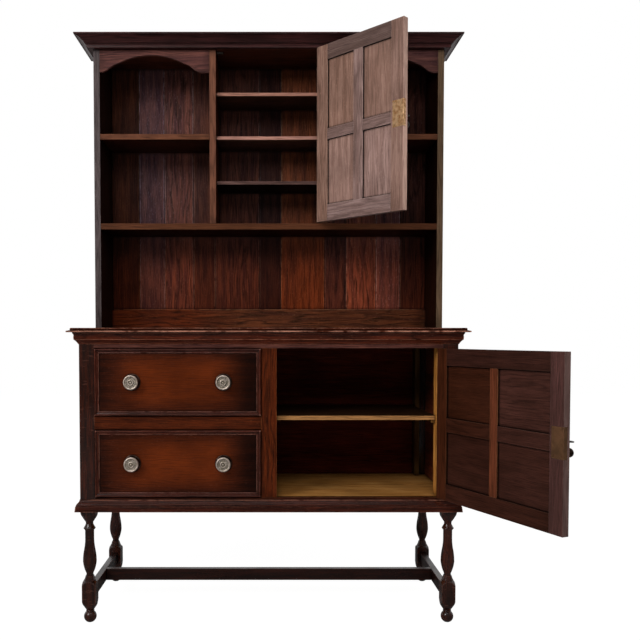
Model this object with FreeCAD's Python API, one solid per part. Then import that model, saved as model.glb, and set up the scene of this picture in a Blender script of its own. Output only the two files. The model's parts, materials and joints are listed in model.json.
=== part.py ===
"""Kitchen dresser of stained oak: a base with two drawers and a cupboard on turned legs,
under an open rack with a panelled door in its middle.

Millimetres. X runs to the right, Y away from the viewer, Z up. The pieces are drawn with
X = 0 at the middle of the base, Y = 0 at the front of its frame and Z = 0 on the floor.
Both doors stand open at rest. The last step moves every piece alike, so that the origin
lies on the floor under the middle of the whole."""
import FreeCAD
import Part
import math
import os
from collections import namedtuple

V = FreeCAD.Vector
os.makedirs("parts", exist_ok=True)

# Overall sizes
body_width = 1137.0
body_depth = 435.0
worktop_height = 897.0
rack_width = 1144.0
rack_depth = 198.0

# Boards and clearances shared by many pieces
frame_thickness = 20.5
board_thickness = 20.0
running_gap = 0.3
door_gap = 1.6
drawer_gap = 1.8
drawer_head_gap = 2.0
drawer_foot_gap = 3.0
overrun = 5.0

# Turned corner posts, from the floor up
post_size = 45.0
leg_block_size = 41.5
plinth_height = 344.0
foot_radius = 19.0
foot_pad_radius = 9.0
foot_neck_radius = 10.8
collar_radius = 12.6
collar_length = 4.5
foot_shoulder_length = 31.0
block_length = 45.0
shoulder_length = 15.0
bell_radius = 17.8
bell_neck_radius = 12.6
bell_length = 13.0
turned_fillet = 2.5
vase_neck_radius = 10.5
vase_neck_length = 6.0
vase_radius = 20.6
vase_waist_radius = 13.5
ring_radius = 17.9
ring_length = 15.0
cup_neck_radius = 11.2
cup_neck_length = 6.0
cup_length = 34.0
cap_length = 3.0

# Stretchers
stretcher_height = 38.0
stretcher_thickness = 20.0
stretcher_drop = 7.6

# Base frame
top_rail_height = 47.5
bottom_rail_height = 42.0
drawer_rail_height = 39.5
centre_stile_width = 46.0
cupboard_width = 499.5
floor_board_thickness = 16.0
back_panel_thickness = 8.0
back_frame_thickness = 23.0
back_rail_height = 40.0
back_muntin_width = 60.0

# Worktop and the mouldings of the base
worktop_thickness = 13.0
worktop_overhang = 31.0
worktop_nosing = 11.5
worktop_lip = 4.5
worktop_quirk = 1.2
frieze_height = 36.0
frieze_projection = 16.0
frieze_fillet = 3.0
plinth_moulding_height = 36.0
plinth_projection = 14.3
plinth_quirk = 1.2

# Cupboard inside
stop_strip_width = 15.0
stop_strip_depth = 42.0
cleat_width = 12.0
cleat_height = 9.0
cupboard_shelf_thickness = 13.0
cupboard_shelf_height = 243.5
cupboard_shelf_setback = 37.0
cleat_setback = 3.0

# Drawers
drawer_front_thickness = 20.0
drawer_side_thickness = 12.0
drawer_back_thickness = 10.0
drawer_bottom_thickness = 6.0
drawer_bottom_rise = 10.0
drawer_groove_depth = 5.0
drawer_side_drop = 24.0
drawer_back_gap = 12.0
drawer_moulding_width = 13.0
drawer_moulding_projection = 8.0
drawer_moulding_lip = 2.5
runner_width = 19.0
runner_depth = 18.0
guide_rise = 14.0
kicker_depth = 30.0

# Drawer knobs
knob_spacing_share = 0.5474
knob_radius = 22.0
knob_projection = 28.0
knob_stem_radius = 7.5
knob_plate_radius = 25.5
knob_plate_thickness = 3.0
knob_rim_length = 6.0
knob_rim_width = 5.0
knob_ring_radius = 8.6
knob_ring_width = 2.6
knob_boss_radius = 3.6
knob_ring_depth = 1.6

# Doors
door_stile_width = 45.5
door_panel_thickness = 8.0
door_panel_recess = 5.0
door_groove_depth = 7.5
lower_door_top_rail = 49.8
lower_door_middle_rail = 41.4
lower_door_bottom_rail = 49.5
lower_door_panel_share = 0.5
lower_door_muntin = 31.0
lower_door_opening_degrees = 114.5
upper_door_top_rail = 47.7
upper_door_middle_rail = 34.1
upper_door_bottom_rail = 51.9
upper_door_panel_share = 0.4865
upper_door_muntin = 36.7
upper_door_opening_degrees = 133.8

# Butt hinges
hinge_length = 63.0
hinge_knuckle_radius = 3.0
hinge_knuckle_proud = 0.2
hinge_pin_radius = 1.3
hinge_pin_clearance = 0.05
hinge_leaf_thickness = 1.5
hinge_leaf_depth = 15.0
hinge_leaf_gap = 0.4
hinge_segment_gap = 0.2
hinge_inset = 62.0
hinge_segments = 5
hinge_cap_radius = 2.2
hinge_cap_length = 2.5

# Locks, with a plate that turns round the free edge of the door
lock_plate_width = 40.0
lock_plate_height = 79.0
lock_plate_thickness = 1.5
lock_edge_width = 12.0
lock_case_width = 33.0
lock_case_height = 56.0
lock_case_depth = 12.0
bolt_height = 16.0
bolt_thickness = 4.4
bolt_length = 23.0
bolt_travel = 8.0
bolt_clearance = 0.1
bolt_cover = 2.0
mortise_play = 1.5
key_stem_radius = 2.2
key_stem_clearance = 0.1
key_projection = 32.0
key_bit_length = 6.0
key_bit_thickness = 2.4
key_bit_depth = 3.2
key_bow_length = 15.0
key_bow_width = 21.0
key_bow_thickness = 3.0
key_bow_rim = 3.2
key_play = 0.4
lock_height_share = 0.5075
pull_drop = 27.0
pull_radius = 11.8
pull_projection = 29.0
pull_stem_radius = 5.0
escutcheon_height = 24.0
escutcheon_width = 15.0
escutcheon_thickness = 1.2

# Rack
divider_thickness = 21.0
rack_opening_width = 346.0
long_shelf_height = 325.3
rack_top_height = 908.5
bay_shelf_thickness = 18.0
bay_shelf_share = 0.502
rack_top_thickness = 18.0
rack_back_thickness = 12.0
thin_shelf_thickness = 11.0
thin_shelf_setback = 23.0
thin_shelf_shares = (0.2591, 0.5106, 0.7551)
back_board_shares = (0.087, 0.080, 0.092, 0.069, 0.142, 0.069, 0.139, 0.069, 0.095, 0.077, 0.081)
back_board_chamfer = 2.0
rack_rail_height = 69.0
rack_rail_thickness = 12.0
valance_thickness = 12.0
valance_height = 73.8
valance_arch_top = 17.8
valance_arch_foot = 44.5
arch_half_width = 108.0
left_arch_shift = 12.0
lobe_width = 55.0
keep_length = 22.0
keep_depth = 16.0
keep_height = 5.0

# Cornice
cornice_height = 36.5
cornice_projection = 52.0
cornice_fascia = 4.5
cornice_step = 4.0
cornice_lip_projection = 18.0
cornice_lip_height = 7.5
cornice_bead = 5.0

# Places that follow from the sizes
half_body = body_width / 2
half_rack = rack_width / 2
carcase_top = worktop_height - worktop_thickness
opening_bottom = plinth_height + bottom_rail_height
opening_top = carcase_top - top_rail_height
drawer_opening = (opening_top - opening_bottom - drawer_rail_height) / 2
drawer_rail_top = opening_top - drawer_opening
drawer_rail_bottom = drawer_rail_top - drawer_rail_height
cupboard_right = half_body - post_size
cupboard_left = cupboard_right - cupboard_width
stile_left = cupboard_left - centre_stile_width
drawer_left = post_size - half_body
side_inside = half_body - board_thickness
back_frame_front = body_depth - back_frame_thickness
back_panel_front = back_frame_front - back_panel_thickness
partition_left = cupboard_left - board_thickness
rack_front = body_depth - rack_depth
rack_inside = half_rack - board_thickness
rack_back = body_depth - rack_back_thickness
rack_ceiling = worktop_height + rack_top_height
dresser_height = rack_ceiling + cornice_height
shelf_bottom = worktop_height + long_shelf_height
shelf_top = shelf_bottom + board_thickness
rack_rise = rack_ceiling - shelf_bottom
half_opening = rack_opening_width / 2
bay_inside = half_opening + divider_thickness

nodes = {}


def keep(name, *solids):
    """Store one named sub-part as a group of separate solids."""
    nodes[name] = list(solids)


def block(x, y, z):
    """A board or stick between the low and high place on each axis."""
    low = V(x[0], y[0], z[0])
    return Part.makeBox(x[1] - x[0], y[1] - y[0], z[1] - z[0], low)


def outline(start, steps, spline=False):
    """Edges from the start through each step: a point for a straight run, or a pair for an arc."""
    edges = []
    here = start
    for step in steps:
        if isinstance(step, tuple):
            middle, end = step
            bend = Part.Arc(here, middle, end)
            edges.append(bend.toBSpline().toShape() if spline else bend.toShape())
        else:
            end = step
            edges.append(Part.LineSegment(here, end).toShape())
        here = end
    return edges


def face_of(start, steps):
    """A flat face whose edge runs from the start through the steps and back."""
    return Part.Face(Part.Wire(outline(start, steps + [start])))


def turned(steps, foot, head):
    """A solid turned about Z: the steps are points (radius, 0, height) from foot to head."""
    start = V(0, 0, foot)
    end = V(0, 0, head)
    last = steps[-1][1] if isinstance(steps[-1], tuple) else steps[-1]
    close = [start] if last == end else [end, start]
    face = Part.Face(Part.Wire(outline(start, steps + close, spline=True)))
    return face.revolve(V(0, 0, 0), V(0, 0, 1), 360)


def facing_front(solid):
    """Turn a solid made about Z so that its top points to the viewer, along -Y."""
    return solid.rotated(V(0, 0, 0), V(1, 0, 0), 90)


def moved(solid, x, y, z):
    """A copy of the solid, moved."""
    return solid.translated(V(x, y, z))


def mirrored(solid):
    """The same piece on the other side of the middle."""
    return solid.mirror(V(0, 0, 0), V(1, 0, 0))


def mitred_returns(profile, half_width, front, back):
    """Front and two side lengths of a moulding, mitred at the corners.

    The profile gives the face (projection, height) as start and steps. Projection is X."""
    start, steps = profile
    reach = max(point.x for step in steps for point in (step if isinstance(step, tuple) else (step,)))
    section = face_of(start, steps)
    low = section.BoundBox.ZMin
    rise = section.BoundBox.ZLength
    length = back - front + reach
    side = moved(section.extrude(V(0, length, 0)), half_width, front - reach, 0)
    across = section.rotated(V(0, 0, 0), V(0, 0, 1), -90)
    span = 2 * (half_width + reach)
    face = moved(across.extrude(V(span, 0, 0)), -span / 2, front, 0)
    corner = V(half_width, front, low)
    tip = V(half_width + reach, front - reach, low)
    side_plan = face_of(corner, [tip, V(tip.x, back, low), V(half_width, back, low)])
    front_plan = face_of(corner, [tip, V(-tip.x, tip.y, low), V(-half_width, front, low)])
    right = side.common(side_plan.extrude(V(0, 0, rise)))
    middle = face.common(front_plan.extrude(V(0, 0, rise)))
    return [middle.Solids[0], right.Solids[0], mirrored(right.Solids[0])]


def post_turning():
    """The outline of a leg from the floor to where the post is square, and its block's two ends."""
    corner = leg_block_size / math.sqrt(2) + overrun / 10
    square = post_size / math.sqrt(2) + overrun / 10
    foot_drop = math.sqrt(foot_radius ** 2 - foot_pad_radius ** 2)
    foot_rise = math.sqrt(foot_radius ** 2 - foot_neck_radius ** 2)
    foot_top = foot_drop + foot_rise
    collar_top = foot_top + collar_length
    block_foot = collar_top + foot_shoulder_length
    block_top = block_foot + block_length
    bell_foot = block_top + shoulder_length
    bell_low = bell_foot + turned_fillet
    bell_top = bell_low + bell_length
    vase_foot = bell_top + vase_neck_length
    cap_foot = plinth_height - cap_length
    cup_foot = cap_foot - cup_length
    ring_top = cup_foot - cup_neck_length
    ring_foot = ring_top - ring_length
    ring_edge = ring_foot + turned_fillet * 2
    vase_length = ring_foot - turned_fillet - vase_foot
    belly = vase_foot + vase_length * belly_share
    hollow = vase_foot + vase_length * hollow_share
    turn = (belly + hollow) / 2
    turn_radius = (vase_radius + vase_waist_radius) / 2
    lean = (vase_radius - vase_waist_radius) / 8
    steps = [
        V(foot_pad_radius, 0, 0),
        (V(foot_radius, 0, foot_drop), V(foot_neck_radius, 0, foot_top)),
        (V(collar_radius, 0, foot_top + collar_length / 2), V(foot_neck_radius, 0, collar_top)),
        (V((corner + foot_neck_radius) * shoulder_share, 0, collar_top + foot_shoulder_length / 2),
         V(corner, 0, block_foot)),
        V(corner, 0, block_top),
        (V((corner + bell_radius) * shoulder_share, 0, block_top + shoulder_length / 2),
         V(bell_radius, 0, bell_foot)),
        V(bell_radius, 0, bell_low),
        V(bell_radius - turned_fillet / 2, 0, bell_low),
        V(bell_neck_radius, 0, bell_top),
        V(vase_neck_radius, 0, bell_top),
        V(vase_neck_radius, 0, vase_foot),
        (V(vase_radius * cheek_share, 0, (vase_foot + belly) / 2), V(vase_radius, 0, belly)),
        (V(turn_radius + 3 * lean, 0, (belly + turn) / 2), V(turn_radius, 0, turn)),
        (V(turn_radius - 3 * lean, 0, (turn + hollow) / 2), V(vase_waist_radius, 0, hollow)),
        V(vase_waist_radius, 0, ring_foot - turned_fillet),
        V(vase_waist_radius + turned_fillet / 2, 0, ring_foot - turned_fillet),
        V(vase_waist_radius + turned_fillet / 2, 0, ring_foot),
        V(ring_radius - turned_fillet / 2, 0, ring_foot),
        (V(ring_radius, 0, (ring_foot + ring_edge) / 2), V(ring_radius - turned_fillet / 2, 0, ring_edge)),
        V(cup_neck_radius, 0, ring_top),
        V(cup_neck_radius, 0, cup_foot),
        (V((square + cup_neck_radius) * cup_share, 0, cup_foot + cup_length / 2), V(square, 0, cap_foot)),
        V(square, 0, carcase_top),
    ]
    return turned(steps, 0, carcase_top), block_top, bell_foot


# Shares of the turned outline
belly_share = 0.28
hollow_share = 0.8
cheek_share = 0.84
shoulder_share = 0.53
cup_share = 0.51


def make_posts():
    """Four posts, square where they join and turned between: the legs and the corners in one."""
    turning, block_top, bell_foot = post_turning()
    half = post_size / 2
    half_block = leg_block_size / 2
    leg_stock = block((-half_block, half_block), (-half_block, half_block), (0, bell_foot))
    post_stock = block((-half, half), (-half, half), (bell_foot, carcase_top))
    post = leg_stock.fuse(post_stock).common(turning).Solids[0]
    for side, x in (("left", half - half_body), ("right", half_body - half)):
        for end, y in (("front", half), ("back", body_depth - half)):
            keep("leg_post_" + end + "_" + side, moved(post, x, y, 0))
    return block_top


def make_stretchers(block_top):
    """Rails between the square blocks of the legs, and one across between them."""
    top = block_top - stretcher_drop
    z = (top - stretcher_height, top)
    centre = half_body - post_size / 2
    half = stretcher_thickness / 2
    tenon = (post_size + leg_block_size) / 2
    side = block((centre - half, centre + half), (tenon, body_depth - tenon), z)
    middle_y = body_depth / 2
    keep("side_stretchers", side, mirrored(side))
    inner = centre - half
    keep("middle_stretcher", block((-inner, inner), (middle_y - half, middle_y + half), z))


def post_squares():
    """The square shafts of the four posts, for cutting round them."""
    inner = half_body - post_size
    squares = []
    for x in ((-half_body, -inner), (inner, half_body)):
        for y in ((0, post_size), (body_depth - post_size, body_depth)):
            squares.append(block(x, y, (plinth_height, carcase_top)))
    return Part.makeCompound(squares)


def make_carcase():
    """Front frame, sides, floor, partition and back of the base."""
    front = (0, frame_thickness)
    between = (drawer_left, cupboard_right)
    keep("bottom_rail", block(between, front, (plinth_height, opening_bottom)))
    keep("top_rail", block(between, front, (opening_top, carcase_top)))
    keep("drawer_rail", block((drawer_left, stile_left), front, (drawer_rail_bottom, drawer_rail_top)))
    stile = block((stile_left, cupboard_left), front, (opening_bottom, opening_top))
    keep("centre_stile", stile.cut(bolt_mortise(lower_door)))
    side = block((side_inside, half_body), (post_size, body_depth - post_size), (plinth_height, carcase_top))
    keep("side_boards", mirrored(side), side)
    floor_z = (opening_bottom - floor_board_thickness, opening_bottom)
    floor = block((-side_inside, side_inside), (frame_thickness, back_frame_front), floor_z)
    keep("floor_board", floor.cut(post_squares()).Solids[0])
    inside_z = (opening_bottom, carcase_top)
    keep("partition", block((partition_left, cupboard_left), (frame_thickness, back_panel_front), inside_z))
    keep("back_panel", block(between, (back_panel_front, back_frame_front), inside_z))
    back = (back_frame_front, body_depth)
    low_rail = block(between, back, (plinth_height, opening_bottom))
    high_rail = block(between, back, (carcase_top - back_rail_height, carcase_top))
    half = back_muntin_width / 2
    muntin = block((-half, half), back, (opening_bottom, carcase_top - back_rail_height))
    keep("back_frame", low_rail, high_rail, muntin)


def make_worktop():
    """The worktop: a bevelled nosing over a small lip on its front and sides."""
    low = carcase_top
    top = worktop_height
    inner = worktop_overhang - worktop_nosing
    lip = low + worktop_lip
    brow = worktop_overhang - worktop_nosing * bevel_share
    brow_z = top - (top - lip) * bevel_share
    nose = (
        V(0, 0, low),
        [V(worktop_overhang - worktop_quirk, 0, low),
         (V(worktop_overhang, 0, (low + lip) / 2), V(worktop_overhang - worktop_quirk, 0, lip)),
         V(worktop_overhang - worktop_quirk * 2, 0, lip),
         V(brow, 0, brow_z),
         V(inner + worktop_quirk, 0, brow_z),
         (V(inner + worktop_quirk / 2, 0, top - worktop_quirk / 2), V(inner, 0, top)),
         V(0, 0, top)],
    )
    core = block((-half_body, half_body), (0, body_depth), (low, top))
    board = core.multiFuse(mitred_returns(nose, half_body, 0, body_depth)).removeSplitter()
    keep("worktop", board.Solids[0])


def make_base_mouldings():
    """The moulding under the worktop and the one round the foot of the carcase."""
    top = carcase_top
    foot = top - frieze_height
    belly = frieze_projection * frieze_belly_share
    swell = frieze_projection * frieze_swell_share
    brow = top - frieze_height * frieze_brow_share
    chin = top - frieze_height * frieze_chin_share
    frieze = (
        V(0, 0, foot),
        [V(swell * 2, 0, foot),
         (V(belly * cove_share, 0, foot + (chin - foot) * cove_rise_share), V(belly, 0, chin)),
         (V(belly + swell, 0, (brow + chin) / 2), V(belly, 0, brow)),
         (V((belly + frieze_projection) / 2 - swell, 0, (brow + top - frieze_fillet) / 2),
          V(frieze_projection, 0, top - frieze_fillet)),
         V(frieze_projection, 0, top),
         V(0, 0, top)],
    )
    keep("worktop_moulding", *mitred_returns(frieze, half_body, 0, body_depth))
    low = plinth_height
    high = low + plinth_moulding_height
    fascia = low + plinth_moulding_height * fascia_share
    face = plinth_projection * face_share
    wave = plinth_quirk / 2
    plinth = (
        V(0, 0, low),
        [V(plinth_projection, 0, low),
         V(face, 0, fascia),
         V(face - plinth_quirk, 0, fascia),
         V(face - plinth_quirk, 0, fascia + plinth_quirk),
         (V((face * 3 - plinth_quirk) / 4 + wave, 0, (fascia * 3 + high) / 4 + wave),
          V(face / 2, 0, (fascia + high) / 2)),
         (V((face + plinth_quirk) / 4 - wave, 0, (fascia + high * 3) / 4 - wave),
          V(plinth_quirk, 0, high - plinth_quirk)),
         V(plinth_quirk, 0, high),
         V(0, 0, high)],
    )
    keep("plinth_moulding", *mitred_returns(plinth, half_body, 0, body_depth))


# Shares of the worktop's nosing and the base's mouldings
bevel_share = 0.8
frieze_belly_share = 0.78
frieze_brow_share = 0.25
frieze_chin_share = 0.61
frieze_swell_share = 0.04
cove_share = 0.5
cove_rise_share = 0.58
fascia_share = 0.46
face_share = 0.86


def make_cupboard_inside():
    """Door stop, cleats and shelf of the cupboard."""
    stop_x = (cupboard_right - stop_strip_width, cupboard_right)
    strip_z = (opening_bottom, carcase_top)
    stop = block(stop_x, (frame_thickness, frame_thickness + stop_strip_depth), strip_z)
    packer = block(stop_x, (back_panel_front - stop_strip_depth, back_panel_front), strip_z)
    stop = stop.cut(block(stop_x, (0, frame_thickness + stop_strip_depth), (opening_top, carcase_top)))
    keep("door_stop_strips", stop.Solids[0], packer)
    top = opening_bottom + cupboard_shelf_height
    low = top - cupboard_shelf_thickness
    shelf_x = (cupboard_left, stop_x[0])
    keep("cupboard_shelf", block(shelf_x, (cupboard_shelf_setback, back_panel_front), (low, top)))
    cleat_y = (cupboard_shelf_setback + cleat_setback, back_panel_front)
    right = block((stop_x[0] - cleat_width, stop_x[0]), cleat_y, (low - cleat_height, low))
    left_y = (cleat_y[0] + stop_strip_depth, cleat_y[1])
    left = block((cupboard_left, cupboard_left + cleat_width), left_y, (low - cleat_height, low))
    keep("shelf_cleats", left, right)


def make_runners():
    """L-shaped runners under both drawers, with guides at their sides, and kickers above."""
    runners = []
    left_guide = (-side_inside, drawer_left)
    right_guide = (stile_left, partition_left)
    left_inner = drawer_left + runner_width
    right_inner = stile_left - runner_width
    run_y = (frame_thickness, back_panel_front)
    for rail_top in (opening_bottom, drawer_rail_top):
        for guide, inner in ((left_guide, left_inner), (right_guide, right_inner)):
            rise = block(guide, run_y, (rail_top, rail_top + guide_rise))
            if rail_top > opening_bottom:
                span = (min(guide[0], inner), max(guide[1], inner))
                rise = rise.fuse(block(span, run_y, (rail_top - runner_depth, rail_top))).removeSplitter()
            runners.append(rise.cut(post_squares()).Solids[0])
    keep("drawer_runners", *runners)
    kick_z = (opening_top, opening_top + kicker_depth)
    kick_left = block((-side_inside, left_inner), run_y, kick_z).cut(post_squares())
    kick_right = block((right_inner, partition_left), run_y, kick_z)
    keep("drawer_kickers", kick_left.Solids[0], kick_right)


def knob_turning():
    """A pressed metal knob: stem, flared cup, raised rim, dish, ring and a boss at its middle."""
    plate = knob_plate_thickness
    head = knob_projection
    rim_foot = head - knob_rim_length - knob_ring_depth
    dish = head - knob_ring_depth * 2
    rim_inside = knob_radius - knob_rim_width
    ring_inside = knob_ring_radius - knob_ring_width
    steps = [
        V(knob_stem_radius, 0, plate),
        V(knob_stem_radius, 0, rim_foot * stem_share),
        (V(knob_radius * throat_share, 0, rim_foot * throat_rise_share),
         V(knob_radius - knob_ring_depth, 0, rim_foot)),
        V(knob_radius, 0, rim_foot + knob_ring_depth),
        V(knob_radius, 0, dish),
        (V(knob_radius - knob_rim_width / 2, 0, head - knob_ring_depth / 2), V(rim_inside, 0, dish)),
        (V((rim_inside + knob_ring_radius) / 2, 0, dish - knob_ring_depth / 2),
         V(knob_ring_radius, 0, dish)),
        (V(knob_ring_radius - knob_ring_width / 2, 0, head - knob_ring_depth / 2), V(ring_inside, 0, dish)),
        V(knob_boss_radius, 0, dish),
        (V(knob_boss_radius * dome_share, 0, head - knob_ring_depth / 2), V(0, 0, head)),
    ]
    return turned(steps, plate, head)


# Shares of the knobs
stem_share = 0.45
throat_share = 0.5
throat_rise_share = 0.82
dome_share = 0.7


def plate_turning():
    """The round backplate behind a drawer knob, with a raised edge."""
    edge = knob_plate_thickness
    steps = [
        V(knob_plate_radius, 0, 0),
        V(knob_plate_radius, 0, edge / 2),
        (V(knob_plate_radius - edge / 2, 0, edge), V(knob_plate_radius - edge, 0, edge)),
    ]
    return turned(steps, 0, edge)


def picture_frame(width, height, border, section):
    """Four mitred lengths round an upright rectangle; section(length) gives one along +X.

    The rectangle's lower left corner is at X = 0, Z = 0."""
    sticks = []
    for turns in range(4):
        length, other = (width, height) if turns % 2 == 0 else (height, width)
        stick = section(length)
        plan = face_of(V(0, 0, 0), [V(border, 0, border), V(length - border, 0, border), V(length, 0, 0)])
        deep = plan.extrude(V(0, -border, 0))
        stick = stick.common(deep).Solids[0]
        stick = moved(stick, -length / 2, 0, -other / 2)
        stick = stick.rotated(V(0, 0, 0), V(0, 1, 0), -90 * turns)
        sticks.append(moved(stick, width / 2, 0, height / 2))
    return sticks


def drawer_moulding_section(length):
    """One stick of the moulding applied to a drawer front, along +X with its back at Y = 0."""
    deep = drawer_moulding_projection
    lip = drawer_moulding_lip
    wide = drawer_moulding_width
    face = face_of(V(0, 0, 0), [
        V(0, -deep + lip, 0),
        (V(0, -deep, lip), V(0, -deep + lip, lip * 2)),
        V(0, -deep + lip * drawer_quirk_share, lip * 2),
        (V(0, -deep / 2, (wide + lip) / 2), V(0, -lip, wide - lip)),
        V(0, -lip, wide),
        V(0, 0, wide),
    ])
    return face.extrude(V(length, 0, 0))


# How far the step of the drawers' moulding lies behind its lip, as a share of the lip
drawer_quirk_share = 1.4


def make_drawer(name, low, high):
    """One drawer: front with its moulding, plain box, bottom in grooves and two knobs."""
    x = (drawer_left + drawer_gap, stile_left - drawer_gap)
    z = (low + drawer_foot_gap, high - drawer_head_gap)
    box_back = back_panel_front - drawer_back_gap
    side_z = (low + running_gap, high - drawer_side_drop)
    side_y = (drawer_front_thickness, box_back)
    bottom_low = side_z[0] + drawer_bottom_rise
    bottom_z = (bottom_low, bottom_low + drawer_bottom_thickness)
    reach = drawer_side_thickness - drawer_groove_depth
    bottom = block((x[0] + reach, x[1] - reach), (drawer_front_thickness, box_back), bottom_z)
    keep("drawer_" + name + "_bottom", bottom)
    sides = []
    for side_x in ((x[0], x[0] + drawer_side_thickness), (x[1] - drawer_side_thickness, x[1])):
        sides.append(block(side_x, side_y, side_z).cut(bottom).Solids[0])
    inner = (x[0] + drawer_side_thickness, x[1] - drawer_side_thickness)
    back = block(inner, (box_back - drawer_back_thickness, box_back), (bottom_z[1], side_z[1]))
    keep("drawer_" + name + "_box", sides[0], sides[1], back)
    keep("drawer_" + name + "_front", block(x, (0, drawer_front_thickness), z))
    sticks = picture_frame(x[1] - x[0], z[1] - z[0], drawer_moulding_width, drawer_moulding_section)
    keep("drawer_" + name + "_moulding", *[moved(stick, x[0], 0, z[0]) for stick in sticks])
    middle = (x[0] + x[1]) / 2
    height = (z[0] + z[1]) / 2
    apart = (stile_left - drawer_left) * knob_spacing_share / 2
    fittings = []
    for place in (middle - apart, middle + apart):
        fittings.append(moved(facing_front(plate_turning()), place, 0, height))
        fittings.append(moved(facing_front(knob_turning()), place, 0, height))
    keep("drawer_" + name + "_knobs", *fittings)


Door = namedtuple("Door", "name hinge_x free_x front low high top_rail middle_rail bottom_rail "
                          "panel_share muntin angle lock_z")

lower_door = Door(
    "lower", cupboard_right - door_gap / 2, cupboard_left + door_gap / 2, 0,
    opening_bottom + door_gap, opening_top - door_gap / 2,
    lower_door_top_rail, lower_door_middle_rail, lower_door_bottom_rail,
    lower_door_panel_share, lower_door_muntin, lower_door_opening_degrees,
    opening_bottom + (opening_top - opening_bottom) * lock_height_share,
)
upper_door = Door(
    "upper", half_opening - door_gap / 2, door_gap / 2 - half_opening, rack_front,
    shelf_top + door_gap, rack_ceiling - door_gap,
    upper_door_top_rail, upper_door_middle_rail, upper_door_bottom_rail,
    upper_door_panel_share, upper_door_muntin, upper_door_opening_degrees,
    shelf_top + (rack_ceiling - shelf_top) * lock_height_share,
)


def hinge_axis(door):
    """The middle of the hinge pin, just in front of the gap beside the door."""
    return V(door.hinge_x, door.front - hinge_knuckle_radius - hinge_knuckle_proud, 0)


def opened(door, solid):
    """The solid swung with its door from closed to the angle at which it stands at rest."""
    return solid.rotated(hinge_axis(door), V(0, 0, 1), door.angle)


def door_edges(door):
    """The plain wood of the door: its hinge edge and its free edge."""
    return door.free_x, door.hinge_x - door_gap / 2


def lock_depths(door):
    """Planes of the lock across the door: inside face, bolt, key bit and end of the case."""
    inside = door.front + board_thickness
    bolt_back = inside - bolt_cover
    bolt_front = bolt_back - bolt_thickness
    case_front = inside - lock_case_depth
    return inside, bolt_back, bolt_front, case_front


def bolt_block(door, length, grow, shift):
    """The bolt's own shape, or with grow above zero the slot that it slides in."""
    inside, bolt_back, bolt_front, case_front = lock_depths(door)
    free = door_edges(door)[0]
    half = bolt_height / 2 + grow
    start = free - shift
    return block((start, start + length), (bolt_front - grow, bolt_back + grow),
                 (door.lock_z - half, door.lock_z + half))


def bolt_mortise(door):
    """The pocket that takes the shot bolt, in the stile or divider beside the free edge."""
    reach = bolt_travel + mortise_play
    return bolt_block(door, reach, mortise_play, reach)


def key_place(door):
    """Where the key's axis crosses the front face: the middle of the free stile."""
    free = door_edges(door)[0]
    return V(free + door_stile_width / 2, door.front, door.lock_z)


def key_hole(door, depth):
    """The round way for the stem of the key, from in front of the door."""
    radius = key_stem_radius + key_stem_clearance
    place = key_place(door)
    start = V(place.x, place.y - overrun, place.z)
    return Part.makeCylinder(radius, depth + overrun, start, V(0, 1, 0))


def lock_pocket(door):
    """What the free stile loses to its lock: the case, and the plate let in flush."""
    free = door_edges(door)[0]
    inside, bolt_back, bolt_front, case_front = lock_depths(door)
    half = lock_plate_height / 2
    half_case = lock_case_height / 2
    z = (door.lock_z - half, door.lock_z + half)
    case_z = (door.lock_z - half_case, door.lock_z + half_case)
    plate = block((free, free + lock_plate_width), (inside - lock_plate_thickness, inside), z)
    edge = block((free, free + lock_plate_thickness), (inside - lock_edge_width, inside), z)
    case = block((free, free + lock_case_width), (case_front, inside), case_z)
    return plate.multiFuse([edge, case]).removeSplitter()


def make_lock(door):
    """Lock case with its turned plate, the bolt inside and the key."""
    inside, bolt_back, bolt_front, case_front = lock_depths(door)
    place = key_place(door)
    case = lock_pocket(door).cut(bolt_block(door, bolt_length + bolt_clearance, bolt_clearance, 0))
    bit_room = key_bit_length + key_stem_radius + key_play
    room_back = case_front + lock_plate_thickness / 2 + key_bit_depth + key_play
    well = Part.makeCylinder(bit_room, room_back - case_front - lock_plate_thickness / 2,
                             V(place.x, case_front + lock_plate_thickness / 2, place.z), V(0, 1, 0))
    case = case.cut(well).cut(key_hole(door, room_back - door.front))
    keep("door_" + door.name + "_lock", opened(door, case.Solids[0]))
    bolt = bolt_block(door, bolt_length - bolt_clearance, 0, -bolt_clearance)
    keep("door_" + door.name + "_bolt", opened(door, bolt))
    stem_end = room_back - key_play
    front = place.y - key_projection
    stem_start = front + key_bow_length - key_bow_rim * stem_entry_share
    stem = Part.makeCylinder(key_stem_radius, stem_end - stem_start, V(place.x, stem_start, place.z),
                             V(0, 1, 0))
    half_bit = key_bit_thickness / 2
    bit = block((place.x + key_stem_radius / 2, place.x + key_stem_radius + key_bit_length),
                (stem_end - key_bit_depth + key_play, stem_end - key_play),
                (place.z - half_bit, place.z + half_bit))
    key = key_bow(place, front).fuse(stem).fuse(bit)
    keep("door_" + door.name + "_key", opened(door, key.Solids[0]))


def key_bow(place, front):
    """The flat oval ring that the fingers turn, round the stem's end."""
    half = key_bow_thickness / 2
    centre_y = front + key_bow_length / 2
    rings = []
    for shrink in (0, key_bow_rim):
        curve = Part.Ellipse(V(0, 0, 0), key_bow_width / 2 - shrink, key_bow_length / 2 - shrink)
        face = Part.Face(Part.Wire([curve.toShape()]))
        rings.append(moved(face.extrude(V(0, 0, key_bow_thickness)), place.x, centre_y, place.z - half))
    return rings[0].cut(rings[1])


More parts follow.
